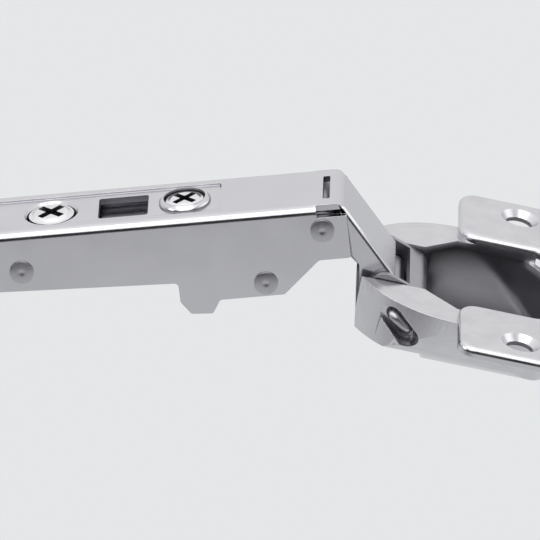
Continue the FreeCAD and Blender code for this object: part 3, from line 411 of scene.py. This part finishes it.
@dataclass
class ArmSheet(DressedPiece):
    """The folded arm; the walls of its window, slot and screw holes are cut edges, tinted darker
    as painted shade.
    """

    panel_half: float = 4.9
    cut_foot: float = 9.0
    cut_top: float = 12.45
    cut_front: float = 16.0
    nose_half: float = 6.35
    nose_start: float = 17.3
    outward: float = 0.9
    upright: float = 0.3

    def is_fold(self, line: bmesh.types.BMEdge) -> bool:
        """Pick the nose's long folds, where its face turns into its side flanges.

        Args:
            line: The edge to look at.

        Returns:
            Whether it is one of them.
        """
        for vert in line.verts:
            spot = vert.co / MM
            if abs(abs(spot.y) - self.nose_half) > ON_PLANE or spot.x < self.nose_start:
                return False
        leans = [face.normal.x + face.normal.z for face in line.link_faces]
        return max(leans) > self.outward

    def in_second_finish(self, centre: Vector, normal: Vector) -> bool:
        """Pick the upright cut walls of the sunk panel's openings, which get the painted shade.
        """
        between = self.cut_foot < centre.z < self.cut_top and centre.x < self.cut_front
        return between and abs(centre.y) < self.panel_half and abs(normal.z) < self.upright


@dataclass
class DrawnCup(DressedPiece):
    """The drawn cup: dull inside and darkened there by painted shade, its front wall pressed flat
    and leaning.

    Its own axes run along it, across it and out of its face, from the middle of that face.
    The last three sizes say how many walls inside its radius something lies: the deepest
    point that is pressed, the wall's middle and the start of the hollow.
    """

    centre: tuple[float, float, float] = (34.23, 0.0, -4.68)
    tilt: float = 18.4
    radius: float = 17.4
    wall: float = 1.0
    skin: float = 0.1
    front: float = -16.3
    lean: float = 1.3
    front_depth: float = 8.2
    wing_top: float = 1.45
    hole_place: tuple[float, float] = (9.5, 22.5)
    hole_radius: float = 2.3
    hole_surround: float = 4.0
    hollow_middle: float = -3.0
    inside_top: float = -0.4
    facing: float = 0.3
    upright: float = 0.3
    walls_pressed: float = 1.5
    walls_middle: float = 0.5
    walls_hollow: float = 0.6

    def axes(self) -> Matrix:
        """The cup's own axes.

        Returns:
            The three axes as rows.
        """
        turn = math.radians(self.tilt)
        along = (math.cos(turn), 0.0, -math.sin(turn))
        out = (math.sin(turn), 0.0, math.cos(turn))
        return Matrix((along, (0.0, 1.0, 0.0), out))

    def from_hole(self, own: Vector) -> float:
        """How far a point, on the cup's own axes, is from the nearer screw hole's axis."""
        along, across = self.hole_place
        return math.hypot(own.x - along, abs(own.y) - across)

    def is_fold(self, line: bmesh.types.BMEdge) -> bool:
        """Pick the pressed rims of the wings' upper face, but not the screw holes' rims.

        Args:
            line: The edge to look at.

        Returns:
            Whether it is one of them.
        """
        for vert in line.verts:
            own = self.axes() @ (vert.co / MM - Vector(self.centre))
            if abs(own.z - self.wing_top) > ON_PLANE or self.from_hole(own) < self.hole_surround:
                return False
        return True

    def reshape(self, shape: bmesh.types.BMesh) -> None:
        """Press the front wall flat, leaning inwards to its foot.

        Args:
            shape: The merged copy of the CAD node.
        """
        axes = self.axes()
        middle = Vector(self.centre)
        innermost = self.radius - self.wall * self.walls_pressed
        for vert in shape.verts:
            own = axes @ (vert.co / MM - middle)
            spread = math.hypot(own.x, own.y)
            in_wall = innermost < spread < self.radius + self.skin
            if not in_wall or own.z > self.skin:
                continue
            foot = min(1.0, max(0.0, -own.z / self.front_depth))
            limit = self.front + self.lean * foot
            if spread < self.radius - self.wall * self.walls_middle:
                limit += self.wall
            own.x = max(own.x, limit)
            vert.co = (middle + axes.transposed() @ own) * MM

    def in_second_finish(self, centre: Vector, normal: Vector) -> bool:
        """Pick the faces that look into the cup, and the screw holes' walls, which get the
        painted shade.

        Args:
            centre: The face's centre, in millimetres.
            normal: The way it looks.

        Returns:
            Whether it is one of them.
        """
        axes = self.axes()
        own = axes @ (centre - Vector(self.centre))
        way = axes @ normal
        inwards = Vector((0.0, 0.0, self.hollow_middle)) - own
        within = math.hypot(own.x, own.y) < self.radius - self.wall * self.walls_hollow
        looks_in = within and own.z < self.inside_top and way.dot(inwards) > self.facing
        in_hole = self.from_hole(own) < self.hole_radius and abs(way.z) < self.upright
        return looks_in or in_hole


@dataclass
class CroppedPin(DressedPiece):
    """A pin or screw taken over from the CAD up to where its dressed head begins.

    A limit that is left at 100 mm crops nothing.
    """

    keep_across: float = 100.0
    keep_below: float = 100.0

    def reshape(self, shape: bmesh.types.BMesh) -> None:
        """Cut off the CAD's plain head and close the shank where it was.

        Args:
            shape: The merged copy of the CAD node.
        """
        across = self.keep_across * MM
        below = self.keep_below * MM
        cuts = (
            ((0.0, across, 0.0), (0.0, 1.0, 0.0)),
            ((0.0, -across, 0.0), (0.0, -1.0, 0.0)),
            ((0.0, 0.0, below), (0.0, 0.0, 1.0)),
        )
        for place, outwards in cuts:
            bmesh.ops.bisect_plane(
                shape, geom=[*shape.verts, *shape.edges, *shape.faces],
                plane_co=place, plane_no=outwards, clear_outer=True)
        rims = [line for line in shape.edges if line.is_boundary]
        bmesh.ops.holes_fill(shape, edges=rims)
        bmesh.ops.recalc_face_normals(shape, faces=shape.faces)


class Tree:
    """A Geometry Nodes tree under construction, with named inputs."""

    def __init__(self, name: str, sizes: dict[str, float]) -> None:
        """Start the tree.

        Args:
            name: The tree's name.
            sizes: Its named inputs, each with its value in metres, as a share or as a count.
        """
        self.group = bpy.data.node_groups.new(name, "GeometryNodeTree")
        self.values = sizes
        self.ids: dict[str, str] = {}
        interface = self.group.interface
        interface.new_socket("Geometry", in_out="INPUT", socket_type="NodeSocketGeometry")
        for size, value in sizes.items():
            kind = "NodeSocketInt" if isinstance(value, int) else "NodeSocketFloat"
            socket = interface.new_socket(size, in_out="INPUT", socket_type=kind)
            self.ids[size] = socket.identifier
        interface.new_socket("Geometry", in_out="OUTPUT", socket_type="NodeSocketGeometry")
        self.inputs = add_node(self.group, "NodeGroupInput").outputs

    def plain_mesh(
        self,
        name: str,
        last: bpy.types.NodeSocket,
        spots: Sequence[Sequence[float]],
        finish: Finish | None = None,
    ) -> bpy.types.Object:
        """End the tree, run it on a few points and keep the result as a plain mesh.

        Args:
            name: The piece's name.
            last: The instances that the tree ends in.
            spots: The points that it starts from, in millimetres.
            finish: The finish of the whole piece, or None where its parts have theirs.

        Returns:
            The finished mesh as an object of its own.
        """
        real = add_node(self.group, "GeometryNodeRealizeInstances", {"Geometry": last})
        ready = add_node(self.group, "GeometryNodeSetShadeSmooth", {0: real.outputs[0]})
        if finish:
            ready = add_node(self.group, "GeometryNodeSetMaterial", {
                "Geometry": ready.outputs[0], "Material": material_of(finish)})
        add_node(self.group, "NodeGroupOutput", {0: ready.outputs[0]})
        seeds = bpy.data.meshes.new(name + "_points")
        seeds.from_pydata([[size * MM for size in spot] for spot in spots], [], [])
        carrier = bpy.data.objects.new(name + "_points", seeds)
        bpy.context.scene.collection.objects.link(carrier)
        modifier = carrier.modifiers.new(name, "NODES")
        modifier.node_group = self.group
        for size, value in self.values.items():
            modifier[self.ids[size]] = value
        made = carrier.evaluated_get(bpy.context.evaluated_depsgraph_get())
        mesh = bpy.data.meshes.new_from_object(made)
        mesh.name = name
        mesh.set_sharp_from_angle(angle=math.radians(HEAD_ANGLE))
        piece = bpy.data.objects.new(name, mesh)
        bpy.context.scene.collection.objects.link(piece)
        carrier.modifiers.remove(modifier)
        bpy.data.objects.remove(carrier)
        log.info("%s made of %d faces", name, len(mesh.polygons))
        return piece


@dataclass
class RivetHeads:
    """Domed rivet heads with a rim and the peening tool's dimple, outside the arm's walls."""

    wall: float = 7.25
    radius: float = 1.88
    rim: float = 0.24
    dome: float = 0.16
    crown_power: float = 3.0
    dimple: float = 0.13
    dimple_radius: float = 0.55
    sides: int = 40
    rings: int = 10
    places: tuple[tuple[float, float], ...] = ((-33.6, 5.8), (4.3, 0.3), (14.0, 8.46))
    nodes: tuple[str, ...] = ("tilt_pin", "guide_rivet_near", "guide_rivet_far", "inner_link_pin")

    def build(self) -> bpy.types.Object:
        """Build the heads on both walls.

        Returns:
            All heads as one piece.
        """
        tree = Tree("rivet_heads", {
            "Head Radius": self.radius * MM, "Rim": self.rim * MM, "Dome": self.dome * MM,
            "Crown Power": self.crown_power, "Dimple": self.dimple * MM,
            "Dimple Radius": self.dimple_radius * MM, "Sides": self.sides, "Rings": self.rings})
        group = tree.group
        size = tree.inputs
        disc = add_node(group, "GeometryNodeMeshCylinder", {
            "Vertices": size["Sides"], "Fill Segments": size["Rings"],
            "Radius": size["Head Radius"], "Depth": size["Rim"]})
        spot = add_node(group, "GeometryNodeInputPosition").outputs[0]
        place = add_node(group, "ShaderNodeSeparateXYZ", {0: spot})
        flat = add_node(group, "ShaderNodeVectorMath", {
            0: spot, 1: FLATTENED}, operation="MULTIPLY")
        across = add_node(group, "ShaderNodeVectorMath", {
            0: flat.outputs["Vector"]}, operation="LENGTH").outputs["Value"]
        share = add_node(group, "ShaderNodeMath", {
            0: across, 1: size["Head Radius"]}, operation="DIVIDE")
        fall = add_node(group, "ShaderNodeMath", {
            0: share.outputs[0], 1: size["Crown Power"]}, operation="POWER")
        left = add_node(group, "ShaderNodeMath", {
            0: 1.0, 1: fall.outputs[0]}, operation="SUBTRACT")
        crown = add_node(group, "ShaderNodeMath", {
            0: size["Dome"], 1: left.outputs[0]}, operation="MULTIPLY")
        bowl = add_node(group, "ShaderNodeMapRange", {
            "Value": across, "From Min": 0.0, "From Max": size["Dimple Radius"],
            "To Min": size["Dimple"], "To Max": 0.0}, interpolation_type="SMOOTHSTEP")
        height = add_node(group, "ShaderNodeMath", {
            0: crown.outputs[0], 1: bowl.outputs[0]}, operation="SUBTRACT")
        lift = add_node(group, "ShaderNodeCombineXYZ", {"Z": height.outputs[0]})
        upper = add_node(group, "ShaderNodeMath", {
            0: place.outputs["Z"], 1: 0.0}, operation="GREATER_THAN")
        domed = add_node(group, "GeometryNodeSetPosition", {
            "Geometry": disc.outputs["Mesh"], "Selection": upper.outputs[0],
            "Offset": lift.outputs[0]})
        outwards = add_node(group, "ShaderNodeCombineXYZ", {"Y": place.outputs["Y"]})
        turn = add_node(group, "FunctionNodeAlignRotationToVector", {
            "Vector": outwards.outputs[0]}, axis="Z")
        heads = add_node(group, "GeometryNodeInstanceOnPoints", {
            "Points": size["Geometry"], "Instance": domed.outputs[0],
            "Rotation": turn.outputs[0]})
        offset = self.wall + self.rim / 2
        spots = [(x, side * offset, z) for x, z in self.places for side in (-1, 1)]
        piece = tree.plain_mesh("rivet_heads", heads.outputs[0], spots, RIVET)
        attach(piece, Body.ARM.value)
        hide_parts(*self.nodes)
        return piece


@dataclass
class ScrewHead:
    """A domed screw head with a tapered cross recess for the driver.

    The cross is turned by some degrees and narrows to a share of its width at its foot.
    """

    name: str
    node: str
    body: Body
    place: tuple[float, float, float]
    radius: float
    crown_radius: float
    shoulder: float
    dome: float
    span: float
    arm: float
    depth: float = 1.2
    recess: float = 0.95
    taper: float = 0.62
    turn: float = 45.0
    sides: int = 72
    rings: int = 16

    def build(self) -> bpy.types.Object:
        """Build the head and sink the cross into it.

        Returns:
            The finished head.
        """
        tree = Tree(self.name, {
            "Radius": self.radius * MM, "Crown Radius": self.crown_radius * MM,
            "Shoulder": self.shoulder * MM, "Dome": self.dome * MM, "Depth": self.depth * MM,
            "Span": self.span * MM, "Arm": self.arm * MM, "Recess": self.recess * MM,
            "Taper": self.taper, "Sides": self.sides, "Rings": self.rings})
        size = tree.inputs
        head = self.domed_blank(tree.group, size)
        cutter = self.cross(tree.group, size)
        recessed = add_node(tree.group, "GeometryNodeMeshBoolean", {
            "Mesh 1": head, "Mesh 2": cutter, "Self Intersection": True},
            operation="DIFFERENCE", solver="EXACT")
        heads = add_node(tree.group, "GeometryNodeInstanceOnPoints", {
            "Points": size["Geometry"], "Instance": recessed.outputs["Mesh"]})
        x, y, z = self.place
        piece = tree.plain_mesh(self.name, heads.outputs[0], [(x, y, z - self.depth / 2)])
        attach(piece, self.body.value)
        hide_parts(self.node)
        return piece

    def domed_blank(
        self, group: bpy.types.NodeTree, size: bpy.types.NodeOutputs,
    ) -> bpy.types.NodeSocket:
        """Make the head without its cross: a disc with a raised crown.

        Args:
            group: The head's node tree.
            size: The tree's named inputs.

        Returns:
            The blank's geometry.
        """
        blank = add_node(group, "GeometryNodeMeshCylinder", {
            "Vertices": size["Sides"], "Fill Segments": size["Rings"],
            "Radius": size["Radius"], "Depth": size["Depth"]})
        spot = add_node(group, "GeometryNodeInputPosition").outputs[0]
        place = add_node(group, "ShaderNodeSeparateXYZ", {0: spot})
        flat = add_node(group, "ShaderNodeVectorMath", {
            0: spot, 1: FLATTENED}, operation="MULTIPLY")
        across = add_node(group, "ShaderNodeVectorMath", {
            0: flat.outputs["Vector"]}, operation="LENGTH")
        level = add_node(group, "ShaderNodeMath", {
            0: size["Crown Radius"], 1: size["Shoulder"]}, operation="SUBTRACT")
        step = add_node(group, "ShaderNodeMapRange", {
            "Value": across.outputs["Value"], "From Min": level.outputs[0],
            "From Max": size["Crown Radius"], "To Min": size["Dome"], "To Max": 0.0},
            interpolation_type="SMOOTHSTEP")
        upper = add_node(group, "ShaderNodeMath", {
            0: place.outputs["Z"], 1: 0.0}, operation="GREATER_THAN")
        lift = add_node(group, "ShaderNodeCombineXYZ", {"Z": step.outputs[0]})
        domed = add_node(group, "GeometryNodeSetPosition", {
            "Geometry": blank.outputs["Mesh"], "Selection": upper.outputs[0],
            "Offset": lift.outputs[0]})
        return add_node(group, "GeometryNodeSetMaterial", {
            "Geometry": domed.outputs[0], "Material": material_of(SCREW)}).outputs[0]

    def cross(
        self, group: bpy.types.NodeTree, size: bpy.types.NodeOutputs,
    ) -> bpy.types.NodeSocket:
        """Make the solid that cuts the recess: two crossed bars, narrower at their feet.

        Args:
            group: The head's node tree.
            size: The tree's named inputs.

        Returns:
            The cutter's geometry.
        """
        # The bars' upper halves stand above the head, and their lower halves cut it.
        tall = add_node(group, "ShaderNodeMath", {
            0: size["Recess"], 1: 2.0}, operation="MULTIPLY")
        both = add_node(group, "GeometryNodeJoinGeometry")
        for wide, long in ((size["Span"], size["Arm"]), (size["Arm"], size["Span"])):
            block = add_node(group, "ShaderNodeCombineXYZ", {
                "X": wide, "Y": long, "Z": tall.outputs[0]})
            bar = add_node(group, "GeometryNodeMeshCube", {"Size": block.outputs[0]})
            group.links.new(bar.outputs[0], both.inputs[0])
        spot = add_node(group, "GeometryNodeInputPosition").outputs[0]
        place = add_node(group, "ShaderNodeSeparateXYZ", {0: spot})
        lower = add_node(group, "ShaderNodeMath", {
            0: place.outputs["Z"], 1: 0.0}, operation="LESS_THAN")
        shares = add_node(group, "ShaderNodeCombineXYZ", {
            "X": size["Taper"], "Y": size["Taper"], "Z": 1.0})
        narrow = add_node(group, "ShaderNodeVectorMath", {
            0: spot, 1: shares.outputs[0]}, operation="MULTIPLY")
        tapered = add_node(group, "GeometryNodeSetPosition", {
            "Geometry": both.outputs[0], "Selection": lower.outputs[0],
            "Position": narrow.outputs["Vector"]})
        half = add_node(group, "ShaderNodeMath", {
            0: size["Depth"], 1: 0.5}, operation="MULTIPLY")
        top = add_node(group, "ShaderNodeMath", {
            0: half.outputs[0], 1: size["Dome"]}, operation="ADD")
        rise = add_node(group, "ShaderNodeCombineXYZ", {"Z": top.outputs[0]})
        turned = add_node(group, "GeometryNodeTransform", {
            "Geometry": tapered.outputs[0], "Translation": rise.outputs[0],
            "Rotation": (0.0, 0.0, math.radians(self.turn))})
        # The cutter's faces become the recess and carry its painted shade.
        return add_node(group, "GeometryNodeSetMaterial", {
            "Geometry": turned.outputs[0], "Material": material_of(RECESS_PAINTED_SHADE)}).outputs[0]


@dataclass
class Coils:
    """Close-wound springs of round wire round a cross pin; wire and coil are radii."""

    name: str
    nodes: tuple[str, ...]
    body: Body
    places: tuple[tuple[float, float, float], ...]
    wire: float
    coil: float
    length: float
    turns: float
    steps: int = 40
    wire_sides: int = 12

    def build(self) -> bpy.types.Object:
        """Wind the coils along the pin.

        Returns:
            All coils as one piece.
        """
        tree = Tree(self.name, {
            "Wire": self.wire * MM, "Coil": self.coil * MM, "Length": self.length * MM,
            "Turns": self.turns, "Steps": self.steps, "Wire Sides": self.wire_sides})
        group = tree.group
        size = tree.inputs
        path = add_node(group, "GeometryNodeCurveSpiral", {
            "Resolution": size["Steps"], "Rotations": size["Turns"],
            "Start Radius": size["Coil"], "End Radius": size["Coil"], "Height": size["Length"]})
        ring = add_node(group, "GeometryNodeCurvePrimitiveCircle", {
            "Resolution": size["Wire Sides"], "Radius": size["Wire"]})
        wound = add_node(group, "GeometryNodeCurveToMesh", {
            "Curve": path.outputs[0], "Profile Curve": ring.outputs[0], "Fill Caps": True})
        turned = add_node(group, "GeometryNodeTransform", {
            "Geometry": wound.outputs[0], "Rotation": (math.radians(-90), 0.0, 0.0)})
        coils = add_node(group, "GeometryNodeInstanceOnPoints", {
            "Points": size["Geometry"], "Instance": turned.outputs[0]})
        piece = tree.plain_mesh(self.name, coils.outputs[0], self.places, SPRING)
        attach(piece, self.body.value)
        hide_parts(*self.nodes)
        return piece


@dataclass(frozen=True)
class Softbox:
    """A square soft light that shines on the hinge; its power is in watts."""

    name: str
    place: tuple[float, float, float]
    size: float
    power: float

    def build(self) -> None:
        """Hang the light and turn it to the hinge."""
        data = bpy.data.lights.new(self.name, "AREA")
        data.shape = "SQUARE"
        data.size = self.size * MM
        data.energy = self.power
        light = bpy.data.objects.new(self.name, data)
        light.location = Vector(self.place) * MM
        light.rotation_euler = (-Vector(self.place)).to_track_quat("-Z", "Y").to_euler()
        bpy.context.scene.collection.objects.link(light)


@dataclass
class Studio:
    """A pale sweep under soft light, and the long lens that the photograph was taken with.

    Each pair of levels is a height, from 0 below over 0.5 level to 1 above, and the
    brightness there. The glow lies to the right, past a share of the way.
    """

    background: str = "#E5E7E8"
    floor_drop: float = 45.0
    floor_half: float = 3000.0
    floor_front: float = 150.0
    aim: tuple[float, float, float] = (4.635, 0.0, -0.988)
    right: tuple[float, float, float] = (0.9943, 0.0210, -0.1046)
    forward: tuple[float, float, float] = (-0.0642, 0.9007, -0.4296)
    distance: float = 1500.0
    frame_width: float = 84.92
    sensor: float = 36.0
    sight_start: float = 100.0
    sight_end: float = 20000.0
    back_levels: tuple[tuple[float, float], ...] = (
        (0.40, 0.60), (0.50, 0.88), (0.62, 1.0), (0.74, 1.06), (1.0, 1.35))
    front_levels: tuple[tuple[float, float], ...] = (
        (0.20, 0.40), (0.38, 0.04), (0.71, 0.03), (0.79, 0.8), (0.93, 1.35))
    front_to_back: float = 0.35
    glow_start: float = 0.72
    glow_full: float = 0.95
    glow: float = 1.8
    lights: tuple[Softbox, ...] = (
        Softbox("overhead_softbox", (0.0, -350.0, 460.0), size=650.0, power=2.0),
        Softbox("left_softbox", (-600.0, -250.0, 350.0), size=300.0, power=0.9),
    )

    def camera(self) -> None:
        """Set the camera at the photograph's viewing angle."""
        forward = Vector(self.forward).normalized()
        right = Vector(self.right)
        right = (right - forward * right.dot(forward)).normalized()
        up = right.cross(forward)
        turn = Matrix((right, up, -forward)).transposed()
        data = bpy.data.cameras.new("long_lens")
        data.sensor_width = self.sensor
        data.lens = self.sensor * self.distance / self.frame_width
        data.clip_start = self.sight_start * MM
        data.clip_end = self.sight_end * MM
        camera = bpy.data.objects.new("long_lens", data)
        spot = (Vector(self.aim) - forward * self.distance) * MM
        camera.matrix_world = Matrix.Translation(spot) @ turn.to_4x4()
        bpy.context.scene.collection.objects.link(camera)
        bpy.context.scene.camera = camera

    def floor(self) -> None:
        """Lay the pale sweep under the hinge; from below, one sees through it."""
        half = self.floor_half * MM
        low = -self.floor_drop * MM
        front = -self.floor_front * MM
        rim = [(-half, front, low), (half, front, low), (half, half, low), (-half, half, low)]
        mesh = bpy.data.meshes.new("sweep")
        mesh.from_pydata(rim, [], [(0, 1, 2, 3)])
        # Matt paper under even light: one flat tone, with no shadow or gloss.
        material = empty_material("matt_paper_sweep")
        tree = material.node_tree
        paper = add_node(tree, "ShaderNodeEmission", {"Color": linear(self.background)})
        clear = add_node(tree, "ShaderNodeBsdfTransparent")
        below = add_node(tree, "ShaderNodeNewGeometry").outputs["Backfacing"]
        shader = add_node(tree, "ShaderNodeMixShader", {
            0: below, 1: paper.outputs[0], 2: clear.outputs[0]})
        add_node(tree, "ShaderNodeOutputMaterial", {"Surface": shader.outputs[0]})
        mesh.materials.append(material)
        sweep = bpy.data.objects.new("sweep", mesh)
        bpy.context.scene.collection.objects.link(sweep)

    def surroundings(self) -> None:
        """Give the metals a studio to reflect: bright behind and above, dark in front."""
        world = bpy.data.worlds.new("studio")
        bpy.context.scene.world = world
        world.use_nodes = True
        tree = world.node_tree
        tree.nodes.clear()
        way = add_node(tree, "ShaderNodeTexCoord").outputs["Generated"]
        parts = add_node(tree, "ShaderNodeSeparateXYZ", {0: way})
        height = add_node(tree, "ShaderNodeMapRange", {
            "Value": parts.outputs["Z"], "From Min": -1.0, "From Max": 1.0})
        back = add_node(tree, "ShaderNodeValToRGB", {0: height.outputs[0]})
        self.grade(back, self.back_levels)
        front = add_node(tree, "ShaderNodeValToRGB", {0: height.outputs[0]})
        self.grade(front, self.front_levels)
        behind = add_node(tree, "ShaderNodeMapRange", {
            "Value": parts.outputs["Y"],
            "From Min": -self.front_to_back, "From Max": self.front_to_back},
            interpolation_type="SMOOTHSTEP")
        walls = add_node(tree, "ShaderNodeMix", {
            "Factor": behind.outputs[0], "A": front.outputs[0], "B": back.outputs[0]},
            data_type="RGBA")
        right = add_node(tree, "ShaderNodeMapRange", {
            "Value": parts.outputs["X"],
            "From Min": self.glow_start, "From Max": self.glow_full},
            interpolation_type="SMOOTHSTEP")
        lit = add_node(tree, "ShaderNodeMix", {
            "Factor": right.outputs[0], "A": walls.outputs["Result"],
            "B": (self.glow, self.glow, self.glow, 1.0)}, data_type="RGBA")
        seen = add_node(tree, "ShaderNodeLightPath").outputs["Is Camera Ray"]
        shown = add_node(tree, "ShaderNodeMix", {
            "Factor": seen, "A": lit.outputs["Result"], "B": linear(self.background)},
            data_type="RGBA")
        sky = add_node(tree, "ShaderNodeBackground", {"Color": shown.outputs["Result"]})
        add_node(tree, "ShaderNodeOutputWorld", {"Surface": sky.outputs[0]})

    @staticmethod
    def grade(ramp: bpy.types.Node, levels: Sequence[tuple[float, float]]) -> None:
        """Set a ramp's grey levels.

        Args:
            ramp: The colour ramp node.
            levels: Height and brightness of each stop, from below to above.
        """
        stops = ramp.color_ramp.elements
        while len(stops) < len(levels):
            stops.new(0.5)
        for stop, (height, level) in zip(stops, levels):
            stop.position = height
            stop.color = (level, level, level, 1.0)

    def build(self) -> None:
        """Set up camera, sweep and light."""
        bpy.context.scene.view_settings.view_transform = "Standard"
        self.camera()
        self.floor()
        self.surroundings()
        for light in self.lights:
            light.build()


@dataclass
class HingeDress:
    """Every piece of the hinge and its finish."""

    pieces: list[DressedPiece] = field(default_factory=lambda: [
        # Painted shade: the arm's opening walls take a darker second finish.
        ArmSheet("hinge_arm", Body.ARM, "arm_plate", ARM_NICKEL, CUT_EDGE_AND_PAINTED_SHADE, fold=0.7),
        # Painted shade: the cup's inside and its screw holes' walls take a dark second finish.
        DrawnCup("cup_body", Body.CUP, "cup_plate", CUP_NICKEL, CUP_INSIDE_PAINTED_SHADE, fold=0.95,
                 edge_angle=18.0),
        CroppedPin("tilt_pin", Body.ARM, "rivet_steel", RIVET, keep_across=7.24),
        CroppedPin("guide_rivet_near", Body.ARM, "rivet_steel", RIVET, keep_across=7.24),
        CroppedPin("guide_rivet_far", Body.ARM, "rivet_steel", RIVET, keep_across=7.24),
        CroppedPin("inner_link_pin", Body.ARM, "rivet_steel", RIVET, keep_across=7.24),
        DressedPiece("outer_link_pin", Body.ARM, "rivet_steel", RIVET),
        DressedPiece("depth_slide", Body.SLIDE, "adaptor_zinc", ARM_NICKEL),
        CroppedPin("depth_screw", Body.DEPTH_SCREW, "screw_plate", SCREW, keep_below=10.9),
        DressedPiece("depth_cam_washer", Body.DEPTH_SCREW, "screw_plate", SCREW),
        CroppedPin("side_screw", Body.SIDE_SCREW, "screw_plate", SCREW, keep_below=11.7),
        DressedPiece("adaptor_rail", Body.ADAPTOR, "adaptor_zinc", ZINC),
        DressedPiece("clip_lever", Body.LEVER, "adaptor_zinc", ZINC),
        DressedPiece("clip_lever_pin", Body.ADAPTOR, "rivet_steel", RIVET),
        DressedPiece("inner_link", Body.INNER_LINK, "arm_plate", LINK_NICKEL),
        DressedPiece("outer_link", Body.OUTER_LINK, "arm_plate", LINK_NICKEL),
        DressedPiece("cup_axle_staple", Body.CUP, "rivet_steel", RIVET),
    ])
    heads: RivetHeads = field(default_factory=RivetHeads)
    screws: list[ScrewHead] = field(default_factory=lambda: [
        ScrewHead("depth_screw_head", "depth_screw", Body.DEPTH_SCREW, (-28.5, 0.0, 11.9),
                  radius=3.58, crown_radius=3.3, shoulder=0.9, dome=0.5, span=6.0, arm=1.5),
        ScrewHead("side_screw_head", "side_screw", Body.SIDE_SCREW, (-7.4, 0.0, 12.5),
                  radius=2.98, crown_radius=2.7, shoulder=0.7, dome=0.3, span=5.4, arm=1.25),
    ])
    coils: list[Coils] = field(default_factory=lambda: [
        Coils("closing_springs", ("closing_spring_near", "closing_spring_far"), Body.CUP,
              ((25.8009, -10.4, -7.1169), (25.8009, 7.9, -7.1169)),
              wire=0.4, coil=1.45, length=2.5, turns=3.0),
        Coils("lever_spring", ("clip_lever_spring",), Body.ADAPTOR,
              ((-42.8, -1.05, 5.0),), wire=0.3, coil=1.45, length=2.1, turns=3.0),
    ])

    def build(self) -> None:
        """Build every piece."""
        for piece in (*self.pieces, self.heads, *self.screws, *self.coils):
            piece.build()


def main() -> None:
    """Build the hinge's look and its studio, logging the pieces as they are made."""
    logging.basicConfig(level=logging.INFO)
    HingeDress().build()
    Studio().build()


if __name__ == "__main__":
    main()
